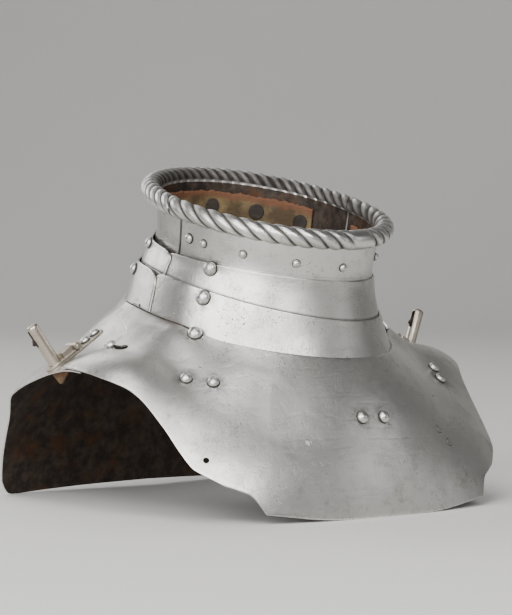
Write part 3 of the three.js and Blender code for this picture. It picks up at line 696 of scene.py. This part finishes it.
def lay_plate(bm, name, columns, rows, wobble):
    """Moves a flat grid on to a plate, and notes each point's distance from the edges and the seam above."""
    plate = PLATES[name]
    is_back = name.startswith("back")
    top, bottom = plate["span"]
    edge_layer = layer_of(bm, "edge_mm")
    seam_layer = layer_of(bm, "seam_mm")
    keyhole = STUD_AT @ Vector((0, 4 * MM, 0))
    for v in unit_grid(bm, columns, rows):
        across = v.co.x
        down = 1 - v.co.y
        right, left = plate_ends(plate, down)
        if is_back:
            right += 360
        angle = math.radians(lerp(left, right, across) if is_back else lerp(right, left, across))
        corner = min(across, 1 - across) * abs(right - left) * MM_PER_DEGREE
        trim = 0.0
        if plate["rank"] in (1, 2) and corner < CORNER:
            trim = (1 - math.sqrt(max(1 - (1 - corner / CORNER) ** 2, 0))) * CORNER_DROP
        above, below = tucked(name, math.degrees(angle))
        level = lerp(top + above, bottom - below, down * (1 - trim) + trim)
        dent = wobble * noise.noise(Vector((math.sin(angle) * 4, math.cos(angle) * 4, level * 1.6)))
        v.co = on_plate(plate, angle, level, min(max(dent, 0), 1) * 0.5 * MM)
        reach = (bottom - top) * MM_PER_LEVEL
        v[edge_layer] = min(corner, down * reach, (1 - down) * reach)
        seam = math.ceil(top + 0.3)
        lapped = plate["rank"] < LAST and level < seam + 0.02
        v[seam_layer] = abs(seam - level) * MM_PER_LEVEL if lapped else FAR
        if name == "back_main_plate":
            # On the back plate this is instead the distance past the keyhole's reach, so the plate seen
            # through the keyhole is painted dark as shade
            v[seam_layer] = max((v.co - keyhole).length / MM - KEYHOLE_SHADE, 0)


def cut_with(target, name, add):
    """Cuts out of a closed piece the closed shape that add makes, with its walls painted dark as shade with
    some grime.
    """
    bm = bmesh.new()
    edge_layer = layer_of(bm, "edge_mm")
    # The seam layer left at 0 on the cutter paints the cut walls dark as shade
    layer_of(bm, "seam_mm")
    add(bm)
    for v in bm.verts:
        v[edge_layer] = FAR
    mesh = bpy.data.meshes.new(name)
    bm.to_mesh(mesh)
    bm.free()
    cutter = bpy.data.objects.new(name, mesh)
    bpy.context.scene.collection.objects.link(cutter)
    cut = target.modifiers.new("Hole", "BOOLEAN")
    cut.operation = "DIFFERENCE"
    cut.solver = "EXACT"
    cut.object = cutter
    apply_modifiers(target)
    bpy.data.objects.remove(cutter)
    bpy.data.meshes.remove(mesh)


def drill(target, name, matrix, radius, depth=12.0):
    """Cuts a round hole through a plate."""
    r = radius * MM
    cut_with(target, name, lambda bm: bmesh.ops.create_cone(
        bm, cap_ends=True, segments=40, radius1=r, radius2=r, depth=depth * MM, matrix=matrix))


def mortise(target, name, matrix, low, high):
    """Cuts a block out of a piece between two corners in millimetres."""
    cut_with(target, name, lambda bm: bmesh.ops.transform(bm, matrix=matrix, verts=box(bm, low, high)))


def apply_modifiers(target):
    """Gives a piece the mesh that its modifiers make, and removes them."""
    bpy.context.view_layer.update()
    graph = bpy.context.evaluated_depsgraph_get()
    result = bpy.data.meshes.new_from_object(target.evaluated_get(graph))
    target.modifiers.clear()
    old = target.data
    target.data = result
    bpy.data.meshes.remove(old)


def mark_heads(bm, matrix, head):
    """Notes 1 on a rivet's dome and 0 on the ring round its foot, which the material paints dark as shade."""
    layer = layer_of(bm, "groove")
    back = matrix.inverted()
    for v in bm.verts:
        p = back @ v.co
        v[layer] = 1 - smooth(math.hypot(p.x, p.y) / MM, head * 0.94, head + 0.1)


def rivet_matrix(row):
    if row["plan"]:
        return frame_over(row["on"], row["plan"])
    degrees, level = row["at"]
    return frame_at(PLATES[row["on"]], math.radians(degrees), level)


def spin_profile(bm, profile, matrix, steps=36):
    """Turns a profile of (radius, height) in millimetres about the matrix's z axis."""
    before = set(bm.verts)
    verts = [bm.verts.new((r * MM, 0, z * MM)) for r, z in profile]
    edges = [bm.edges.new(pair) for pair in zip(verts, verts[1:])]
    bmesh.ops.spin(bm, geom=verts + edges, cent=(0, 0, 0), axis=(0, 0, 1), angle=math.tau, steps=steps,
                   use_merge=True)
    bmesh.ops.remove_doubles(bm, verts=[v for v in bm.verts if v not in before], dist=1e-6)
    bmesh.ops.transform(bm, matrix=matrix, verts=[v for v in bm.verts if v not in before])


def dome_profile(head, dome, seat, bottom):
    """A rivet's half section from the burr inside to the top of its head, with a flat ring round its foot that
    the material paints dark as shade.
    """
    points = [(0, bottom - 0.7), (1.6, bottom - 0.6), (2.3, bottom - 0.1), (1.5, bottom), (1.5, 0.0),
              (head + SHADED_FOOT, 0.0), (head + SHADED_FOOT * 0.6, min(seat, 0.2) + 0.1), (head, seat + 0.1)]
    for i in range(1, 9):
        t = i / 8 * math.pi / 2
        points.append((head * math.cos(t), seat + 0.25 + (dome - 0.25) * math.sin(t)))
    points[-1] = (0, seat + dome)
    return points


def lame_section(bm, name, columns, strands, relief, mirror_at, span):
    """Wraps a grid round the closed section of a top lame and its roped rim."""
    plate = PLATES[name]
    low, high = span
    outer = [lerp(plate["span"][1], plate["span"][0], i / 12) for i in range(13)]
    rope = [lerp(255, 555, i / 40) for i in range(41)]
    inner = [lerp(plate["span"][0], plate["span"][1], i / 10) for i in range(11)]
    count = len(outer) + len(rope) + len(inner)
    edge_layer = layer_of(bm, "edge_mm")
    seam_layer = layer_of(bm, "seam_mm")
    groove_layer = layer_of(bm, "groove")
    inside_layer = layer_of(bm, "inside")
    ring = RINGS[0]
    mirror = math.radians(mirror_at)
    made = unit_grid(bm, columns, count)
    for v in made:
        angle = math.radians(lerp(low, high, v.co.x))
        row = round(v.co.y * count) % count
        v[edge_layer] = FAR
        v[seam_layer] = FAR
        v[groove_layer] = 1.0
        if row < len(outer):
            level = outer[row]
            v.co = on_plate(plate, angle, level)
            v[seam_layer] = abs(level - 1) * TOP_MM_PER_LEVEL if level < 1.02 else FAR
            v[edge_layer] = (plate["span"][1] - level) * TOP_MM_PER_LEVEL
            continue
        if row >= len(outer) + len(rope):
            v.co = on_plate(plate, angle, inner[row - len(outer) - len(rope)], THIN)
            v[inside_layer] = 1.0
            continue
        t = math.radians(rope[row - len(outer)])
        strand = abs(angle - mirror) / math.radians(high - low) * strands
        hand = -1 if angle < mirror else 1
        bulge = (1 - smooth(strand, 0.35, 1.1)) if mirror_at < 90 else 0.0
        crest = abs(math.sin(math.pi * strand + hand * ROPE_STARTS * t / 2)) ** 0.62
        crest = lerp(crest, 1, bulge)
        radius = ROPE_RADIUS - relief * (1 - crest)
        c = math.cos(t) * radius
        s = math.sin(t) * radius
        v.co = Vector((
            (ring["width"] + ROPE_OUT + c) * math.sin(angle),
            -ring["forward"] - (ring["depth"] + ROPE_OUT + c) * math.cos(angle),
            round_neck(ring, angle) + ROPE_ABOVE + s,
        )) * MM + ORIGIN
        # Lower in the grooves and on the roll's inner side, which the material paints dark as shade
        v[groove_layer] = crest * (1 - 0.6 * smooth(-math.cos(t), 0.1, 0.9))
    bmesh.ops.remove_doubles(bm, verts=bm.verts, dist=2e-6)
    for face in bm.faces:
        face.material_index = int(all(v[inside_layer] > 0.5 for v in face.verts))
    ends = [e for e in bm.edges if e.is_boundary]
    bmesh.ops.holes_fill(bm, edges=ends, sides=0)


def band(bm, name, first, last, top, bottom, inside, fray, columns=160, rows=14):
    """A leather band inside a lame, as a sheet with a frayed upper edge."""
    plate = PLATES[name]
    layer = layer_of(bm, "down")
    for v in unit_grid(bm, columns, rows):
        angle = math.radians(lerp(first, last, v.co.x))
        down = 1 - v.co.y
        torn = noise.fractal(Vector((angle * 22, 0.3, 0)), 0.9, 2.0, 4) * fray
        level = lerp(top + torn * (1 - down), bottom, down)
        slack = noise.noise(Vector((angle * 7, down * 2.5, 5))) * 0.35 * MM
        v.co = on_plate(plate, angle, level, inside + abs(slack))
        v[layer] = down


def fitting_matrix(side):
    row = FITTINGS[side]
    z = Vector(row["peg"]).normalized()
    x = Vector((row["sign"], 0.1, 0))
    x = (x - z * x.dot(z)).normalized()
    y = z.cross(x)
    turned = Matrix((x, y, z)).transposed().to_4x4()
    return Matrix.Translation(Vector(row["hinge"]) * MM - z * HINGE_UP * MM) @ turned


def strip_plate(bm, start, end, width, bottom, top, round_start=0.0):
    """A strip whose far end is round, and its near end as far as is asked, from a grid."""
    half = width / 2
    made = bmesh.ops.create_grid(bm, x_segments=24, y_segments=8, size=0.5)["verts"]
    for v in made:
        u = v.co.x + 0.5
        w = v.co.y * 2
        bow = math.sqrt(max(1 - w * w, 0)) * half - half
        v.co = Vector((lerp(start - bow * round_start, end + bow, u), w * half, bottom)) * MM
    flat = set(made)
    faces = [f for f in bm.faces if all(v in flat for v in f.verts)]
    raised = bmesh.ops.extrude_face_region(bm, geom=faces)["geom"]
    lifted = [g for g in raised if isinstance(g, bmesh.types.BMVert)]
    bmesh.ops.translate(bm, verts=lifted, vec=(0, 0, (top - bottom) * MM))
    bmesh.ops.recalc_face_normals(bm, faces=bm.faces)


def barrel(bm, radius, first, last, x, z, steps=32, taper=0.25):
    """A barrel along y with softly broken ends."""
    profile = ((0, first), (radius - taper, first), (radius, first + taper), (radius, last - taper),
               (radius - taper, last), (0, last))
    along_y = Matrix.Translation((x * MM, 0, z * MM)) @ Matrix.Rotation(-math.pi / 2, 4, "X")
    spin_profile(bm, profile, along_y, steps)


def box(bm, low, high):
    """A block between two corners in millimetres."""
    made = bmesh.ops.create_cube(bm, size=1.0)["verts"]
    for v in made:
        v.co = Vector([lerp(a, b, c + 0.5) for a, b, c in zip(low, high, v.co)]) * MM
    return made


def thicken(piece, thickness, offset=-1.0, inside=0):
    """Gives a sheet its thickness, with another material on the inside if asked."""
    thick = piece.modifiers.new("Thickness", "SOLIDIFY")
    thick.thickness = thickness
    thick.offset = offset
    thick.material_offset = inside


def finish_edges(target, width, segments=2):
    """Softens the edges of a piece a little."""
    bevel = target.modifiers.new("Edges", "BEVEL")
    bevel.width = width * MM
    bevel.segments = segments
    bevel.limit_method = "ANGLE"
    bevel.angle_limit = math.radians(40)
    bevel.harden_normals = False


class GorgetSettings(bpy.types.PropertyGroup):
    """Choices for the finish of the steel and leather."""

    wobble: FloatProperty(name="Plate wobble", description="How uneven the hand-hammered plates are",
                          default=0.3, min=0.0, max=1.0)
    stains: FloatProperty(name="Stains", description="Strength of the grey stains on the steel",
                          default=0.75, min=0.0, max=2.0)
    pits: FloatProperty(name="Pits", description="Strength of the dark pits", default=0.9, min=0.0, max=2.0)
    relief: FloatProperty(name="Rope relief", description="Depth of the grooves of the roped rim in metres",
                          default=0.0016, min=0.0, unit="LENGTH")
    strands_front: IntProperty(name="Front strands", description="Strands in the front half of the rim",
                               default=22, min=4)
    strands_back: IntProperty(name="Back strands", description="Strands in the back half of the rim",
                              default=30, min=4)
    edge_colour: FloatProperty(name="Worn leather edge", default=0.9, min=0.0, max=1.0,
                               description="Strength of the leather's worn upper edge")
    leather: FloatVectorProperty(name="Leather", description="Colour of the leather lining", subtype="COLOR",
                                 size=4, default=(0.19, 0.13, 0.055, 1))
    leather_edge: FloatVectorProperty(name="Leather edge", description="Colour of the leather's frayed edge",
                                      subtype="COLOR", size=4, default=(0.14, 0.052, 0.022, 1))
    floor: FloatVectorProperty(name="Floor", description="Colour of the floor and backdrop", subtype="COLOR",
                               size=4, default=(0.72, 0.71, 0.69, 1))


def face_outwards(piece):
    """Turns a sheet's faces away from the neck."""
    middle = piece.data.polygons[len(piece.data.polygons) // 2]
    if middle.normal.dot(middle.center - Vector((0, 0, middle.center.z))) < 0:
        piece.data.flip_normals()


class GORGET_OT_plates(bpy.types.Operator):
    """Build the shoulder plates and the lower neck lames, with their holes and keyhole"""
    bl_idname = "gorget.plates"
    bl_label = "Plates and lames"

    def execute(self, context):
        settings = context.scene.gorget
        for name, grid in GRIDS.items():
            bm = bmesh.new()
            lay_plate(bm, name, *grid, settings.wobble)
            piece = make_object(f"{name}_steel", bm, look("steel_plate"), half_of(name), (name,), 60)
            piece.data.materials.append(look("steel_inside"))
            thicken(piece, THIN, inside=1)
            face_outwards(piece)
            apply_modifiers(piece)
            for number, hole in enumerate(HOLES if name == "front_main_plate" else ()):
                drill(piece, f"hole_{number}", frame_over(name, hole["plan"]), hole["radius"])
            if name == "front_main_plate":
                low = (-SLOT_HALF, -SLOT_BEHIND, -6)
                mortise(piece, "keyhole_slot", STUD_AT, low, (SLOT_HALF, SLOT_AHEAD, 8))
                drill(piece, "keyhole_end", STUD_AT @ Matrix.Translation((0, SLOT_AHEAD * MM, 0)), KEYHOLE)
            if name == "back_lame_3":
                drill(piece, "lame_hole", frame_at(PLATES[name], math.radians(-101), 2.72), 1.2)
            finish_edges(piece, 0.35)
        return {"FINISHED"}


class GORGET_OT_rim(bpy.types.Operator):
    """Build the two top lames with the rolled and roped neck rim"""
    bl_idname = "gorget.rim"
    bl_label = "Roped rim"

    def execute(self, context):
        settings = context.scene.gorget
        deep = settings.relief / MM
        halves = (
            ("front_top_lame", settings.strands_front, 8, (-90, 89)),
            ("back_top_lame", settings.strands_back, 180, (90, 268.4)),
        )
        for name, strands, mirror_at, span in halves:
            bm = bmesh.new()
            lame_section(bm, name, strands * 14, strands, deep, mirror_at, span)
            piece = make_object(f"{name}_steel", bm, look("steel_roped"), half_of(name), (name,), 70)
            piece.data.materials.append(look("steel_inside"))
        return {"FINISHED"}


def add_rivet(name, at, sizes, body):
    """Adds a rivet from its head radius, dome, seat and the height of its burr, in millimetres."""
    bm = bmesh.new()
    spin_profile(bm, dome_profile(*sizes), at)
    mark_heads(bm, at, sizes[0])
    make_object(f"{name}_head", bm, look("steel_rivets"), body, (name,))


class GORGET_OT_rivets(bpy.types.Operator):
    """Build the rivets, the closing stud and the pivot rivet"""
    bl_idname = "gorget.rivets"
    bl_label = "Rivets and stud"

    def execute(self, context):
        for name, row in RIVETS.items():
            sizes = (row["head"], row["dome"], row["seat"], -2.4)
            add_rivet(name, rivet_matrix(row), sizes, half_of(row["on"]))
        bm = bmesh.new()
        spin_profile(bm, STUD_PROFILE, STUD_AT)
        make_object("closing_stud_turned", bm, look("steel_fittings"), "back_half", ("closing_stud",))
        bm = bmesh.new()
        spin_profile(bm, dome_profile(3.4, 2.4, 0.4, -3.6), frame_over("front_main_plate", PIVOT_PLAN))
        make_object("pivot_rivet_head", bm, look("steel_fittings"), "front_half", ("pivot_rivet",))
        return {"FINISHED"}


class GORGET_OT_shoulder_fittings(bpy.types.Operator):
    """Build the riveted strips, hinged peg leaves and spring catches of both shoulders"""
    bl_idname = "gorget.shoulder_fittings"
    bl_label = "Shoulder fittings"

    def execute(self, context):
        for side, row in FITTINGS.items():
            at = fitting_matrix(side)
            self.build_strip(side, at)
            self.build_leaf(side, at, row["catch"])
        return {"FINISHED"}

    def add_iron(self, node, bm, body, at):
        """Finishes a piece of the pegs' darker steel that stands for a CAD node."""
        return make_object(f"{node}_steel", bm, look("steel_pegs"), body, (node,), at=at)

    def build_strip(self, side, at):
        half = STRIP_WIDE / 2
        hub = KNUCKLE_HALF
        bm = bmesh.new()
        strip_plate(bm, STRIP_IN, STRIP_OUT, STRIP_WIDE, 0, STRIP_THICK, 0.8)
        for low, high in ((-half, -hub - LEAF_GAP), (hub + LEAF_GAP, half)):
            barrel(bm, KNUCKLE, low, high, 0, HINGE_UP)
            box(bm, (-KNUCKLE, low + 0.1, STRIP_THICK - 0.4), (0, high - 0.1, HINGE_UP))
        strip = self.add_iron(f"strip_{side}", bm, "back_half", at)
        finish_edges(strip, 0.3)
        for number, u in enumerate((-17.5, -9), 1):
            seat = at @ Matrix.Translation((u * MM, 0, STRIP_THICK * MM))
            add_rivet(f"strip_rivet_{side}_{number}", seat, (3.4, 2.8, 0.3, -2.0), "back_half")
        bm = bmesh.new()
        barrel(bm, PIN_RADIUS, -half - 0.4, half + 0.4, 0, HINGE_UP)
        self.add_iron(f"hinge_pin_{side}", bm, body_of_node(f"hinge_pin_{side}"), at)

    def build_leaf(self, side, at, catch):
        bm = bmesh.new()
        hub = KNUCKLE_HALF
        strip_plate(bm, KNUCKLE + LEAF_GAP, STRIP_OUT, STRIP_WIDE, STRIP_THICK + LEAF_GAP, PEG_FOOT)
        barrel(bm, KNUCKLE, -hub, hub, 0, HINGE_UP)
        box(bm, (0, -hub + 0.1, STRIP_THICK + 0.4), (KNUCKLE + 1.3, hub - 0.1, PEG_FOOT - 0.1))
        box(bm, (4, -5.5, PEG_FOOT - 0.2), (12, 5.5, PEG_FOOT + TAB_HIGH))
        leaf = self.add_iron(f"peg_leaf_{side}", bm, f"peg_{side}", at)
        finish_edges(leaf, 0.35)
        foot = at @ Matrix.Translation((PEG_AT * MM, 0, PEG_FOOT * MM))
        bm = bmesh.new()
        r = PEG_RADIUS
        spin_profile(bm, PEG_PROFILE, foot, 48)
        peg = make_object(f"peg_{side}_steel", bm, look("steel_pegs"), f"peg_{side}", ())
        low, high = (-2.6, r + 1) if catch > 0 else (-r - 1, 2.6)
        mortise(peg, f"peg_slot_{side}", foot, (low, -1.3, CATCH_UP - 10), (high, 1.3, CATCH_UP + 2))
        finish_edges(peg, 0.25)
        self.build_catch(side, foot, catch)

    def build_catch(self, side, foot, catch):
        pivot = foot @ Matrix.Translation((0, 0, CATCH_UP * MM))
        turn = Matrix.Rotation(0 if catch > 0 else math.pi, 4, "Z")
        bm = bmesh.new()
        face = bm.faces.new([bm.verts.new((x * MM, -1.0 * MM, z * MM)) for x, z in CATCH_OUTLINE])
        raised = bmesh.ops.extrude_face_region(bm, geom=[face])["geom"]
        lifted = [g for g in raised if isinstance(g, bmesh.types.BMVert)]
        bmesh.ops.translate(bm, verts=lifted, vec=(0, 2.0 * MM, 0))
        bmesh.ops.transform(bm, matrix=pivot @ turn, verts=bm.verts)
        latch = make_object(f"spring_catch_{side}_iron", bm, look("dark_iron"), f"catch_{side}",
                            (f"spring_catch_{side}",))
        finish_edges(latch, 0.25)
        bm = bmesh.new()
        barrel(bm, 0.95, -PEG_RADIUS, PEG_RADIUS, 0, 0, 24, 0.15)
        self.add_iron(f"catch_pin_{side}", bm, body_of_node(f"catch_pin_{side}"), pivot)


def body_of_node(name):
    """The body that a CAD node rides on."""
    return body_of(frame["nodes"][name])[0]


class GORGET_OT_leather(bpy.types.Operator):
    """Build the leather linings of the neck and the discs riveted to the back one"""
    bl_idname = "gorget.leather"
    bl_label = "Leather lining"

    def execute(self, context):
        settings = context.scene.gorget
        body = tuple(settings.leather)
        edge = tuple(settings.leather_edge)
        old = shared_material("old_leather", leather_material, settings, body, edge)
        inside = THIN + GAP + 0.1 * MM
        bands = (
            ("front_leather_lining", "front_top_lame", (-84, 84), (0.1, 0.95)),
            ("back_leather_lining", "back_top_lame", (112, 256), (0.08, 0.85)),
        )
        for name, plate, ends, levels in bands:
            bm = bmesh.new()
            band(bm, plate, *ends, *levels, inside, 0.05)
            piece = make_object(f"{name}_band", bm, old, half_of(name), (name,), 60)
            thicken(piece, LEATHER)
            face_outwards(piece)
        self.hang_tip(old)
        dark = shared_material("dark_leather", leather_material, settings, (0.035, 0.025, 0.018, 1),
                               (0.05, 0.035, 0.025, 1))
        plate = PLATES["back_top_lame"]
        for number, degrees in enumerate((171, 144, 118.4), 1):
            angle = math.radians(degrees)
            at = frame_at(plate, angle, 0.45)
            at = at @ Matrix.Translation((0, 0, -(inside + LEATHER))) @ Matrix.Rotation(math.pi, 4, "X")
            bm = bmesh.new()
            layer_of(bm, "down")
            spin_profile(bm, DISC_PROFILE, at, 40)
            down = bm.verts.layers.float["down"]
            for v in bm.verts:
                v[down] = 1.0
            make_object(f"lining_disc_{number}", bm, dark, "back_half", ())
        return {"FINISHED"}

    def hang_tip(self, leather):
        """The pointed end of a strap that hangs inside the wearer's right shoulder."""
        plate = PLATES["back_main_plate"]
        bm = bmesh.new()
        layer = layer_of(bm, "down")
        for v in unit_grid(bm, 10, 10):
            down = 1 - v.co.y
            across = (v.co.x - 0.5) * (1 - 0.9 * down)
            angle = math.radians(-94.4 + across * 10)
            v.co = on_plate(plate, angle, 3.94, THIN + 0.5 * MM) - Vector((0, 0, down * 9 * MM))
            v[layer] = 0.12 + 0.16 * down
        tip = make_object("strap_tip_leather", bm, leather, "back_half", (), 60)
        thicken(tip, 1.5 * MM, 0.0)


# The camera's place in degrees and metres, and its lens and shift
CAMERA = {"azimuth": -38.5, "elevation": 3.1, "distance": 1.9, "target": (0.0017, 0.002, 0.1), "lens": 166.2,
          "shift": 0.069}


class GORGET_OT_stage(bpy.types.Operator):
    """Set the camera, the floor and the soft lights"""
    bl_idname = "gorget.stage"
    bl_label = "Camera, floor and light"

    def execute(self, context):
        settings = context.scene.gorget
        scene = context.scene
        self.place_camera(scene)
        bm = bmesh.new()
        self.lay_cove(bm)
        mesh = bpy.data.meshes.new("floor")
        bm.to_mesh(mesh)
        bm.free()
        mesh.shade_smooth()
        floor = bpy.data.objects.new("floor", mesh)
        scene.collection.objects.link(floor)
        m = Material("floor_paint")
        tone = m.noise(2.5, 3, 0.5)
        pale = tuple(settings.floor)
        colour = (tone * 0.12).mix(pale, (pale[0] * 0.8, pale[1] * 0.8, pale[2] * 0.8, 1))
        grain = m.bump(m.noise(300, 2), 0.0002)
        mesh.materials.append(m.finish(Base_Color=colour, Roughness=0.9, Normal=grain))
        lights = (
            ("key", (-2.1, -1.0, 1.15), 2.4, 84.0),
            ("front", (-0.7, -2.3, 1.5), 1.5, 38.0),
            ("fill", (1.7, -1.9, 0.8), 1.2, 4.0),
            ("back", (0.6, 2.0, 2.0), 1.4, 10.0),
            ("side", (-0.75, 2.0, 1.2), 1.8, 26.0),
            ("top", (-0.7, -0.6, 2.3), 1.1, 14.0),
        )
        for name, place, size, power in lights:
            lamp = bpy.data.lights.new(f"{name}_light", "AREA")
            lamp.shape = "DISK"
            lamp.size = size
            lamp.energy = power
            lit = bpy.data.objects.new(f"{name}_light", lamp)
            lit.location = place
            lit.rotation_euler = (Vector((0, 0, 0.1)) - Vector(place)).to_track_quat("-Z", "Y").to_euler()
            scene.collection.objects.link(lit)
        world = bpy.data.worlds.new("studio")
        world.use_nodes = True
        world.node_tree.nodes["Background"].inputs["Color"].default_value = (0.62, 0.63, 0.65, 1)
        world.node_tree.nodes["Background"].inputs["Strength"].default_value = 0.16
        scene.world = world
        return {"FINISHED"}

    def lay_cove(self, bm):
        """A flat floor that curves up behind the gorget into a plain backdrop."""
        flat = 2.4
        bend = 1.2
        arc = bend * math.pi / 2
        for v in bmesh.ops.create_grid(bm, x_segments=1, y_segments=60, size=0.5)["verts"]:
            along = lerp(-4.0, flat + arc + 2.5, v.co.y + 0.5)
            turn = min(max(along - flat, 0) / bend, math.pi / 2)
            rise = bend * (1 - math.cos(turn)) + max(along - flat - arc, 0)
            v.co = Vector((v.co.x * 12, min(along, flat) + bend * math.sin(turn), rise))
        facing = Matrix.Rotation(math.radians(CAMERA["azimuth"]), 3, "Z")
        bmesh.ops.rotate(bm, verts=bm.verts, cent=(0, 0, 0), matrix=facing)

    def place_camera(self, scene):
        lens = bpy.data.cameras.new("camera")
        lens.sensor_fit = "VERTICAL"
        lens.sensor_height = 36
        lens.lens = CAMERA["lens"]
        lens.shift_y = CAMERA["shift"]
        lens.clip_end = 50
        camera = bpy.data.objects.new("camera", lens)
        azimuth = math.radians(CAMERA["azimuth"])
        rise = math.radians(CAMERA["elevation"])
        level = math.cos(rise)
        back = Vector((math.sin(azimuth) * level, -math.cos(azimuth) * level, math.sin(rise)))
        camera.location = Vector(CAMERA["target"]) + back * CAMERA["distance"]
        camera.rotation_euler = back.to_track_quat("Z", "Y").to_euler()
        scene.collection.objects.link(camera)
        scene.camera = camera


class GORGET_PT_panel(bpy.types.Panel):
    """Gorget pieces and their settings"""
    bl_label = "Steel gorget"
    bl_idname = "GORGET_PT_panel"
    bl_space_type = "VIEW_3D"
    bl_region_type = "UI"
    bl_category = "Gorget"

    def draw(self, context):
        settings = context.scene.gorget
        for name in GorgetSettings.__annotations__:
            self.layout.prop(settings, name)
        for operator in OPERATORS:
            self.layout.operator(operator.bl_idname)


OPERATORS = (GORGET_OT_stage, GORGET_OT_plates, GORGET_OT_rim, GORGET_OT_rivets, GORGET_OT_shoulder_fittings,
             GORGET_OT_leather)
CLASSES = (GorgetSettings, *OPERATORS, GORGET_PT_panel)


def register():
    for kind in CLASSES:
        bpy.utils.register_class(kind)
    bpy.types.Scene.gorget = bpy.props.PointerProperty(type=GorgetSettings)


def unregister():
    del bpy.types.Scene.gorget
    for kind in reversed(CLASSES):
        bpy.utils.unregister_class(kind)


def main():
    register()
    bpy.ops.gorget.stage()
    bpy.ops.gorget.plates()
    bpy.ops.gorget.rim()
    bpy.ops.gorget.rivets()
    bpy.ops.gorget.shoulder_fittings()
    bpy.ops.gorget.leather()


if __name__ == "__main__":
    main()
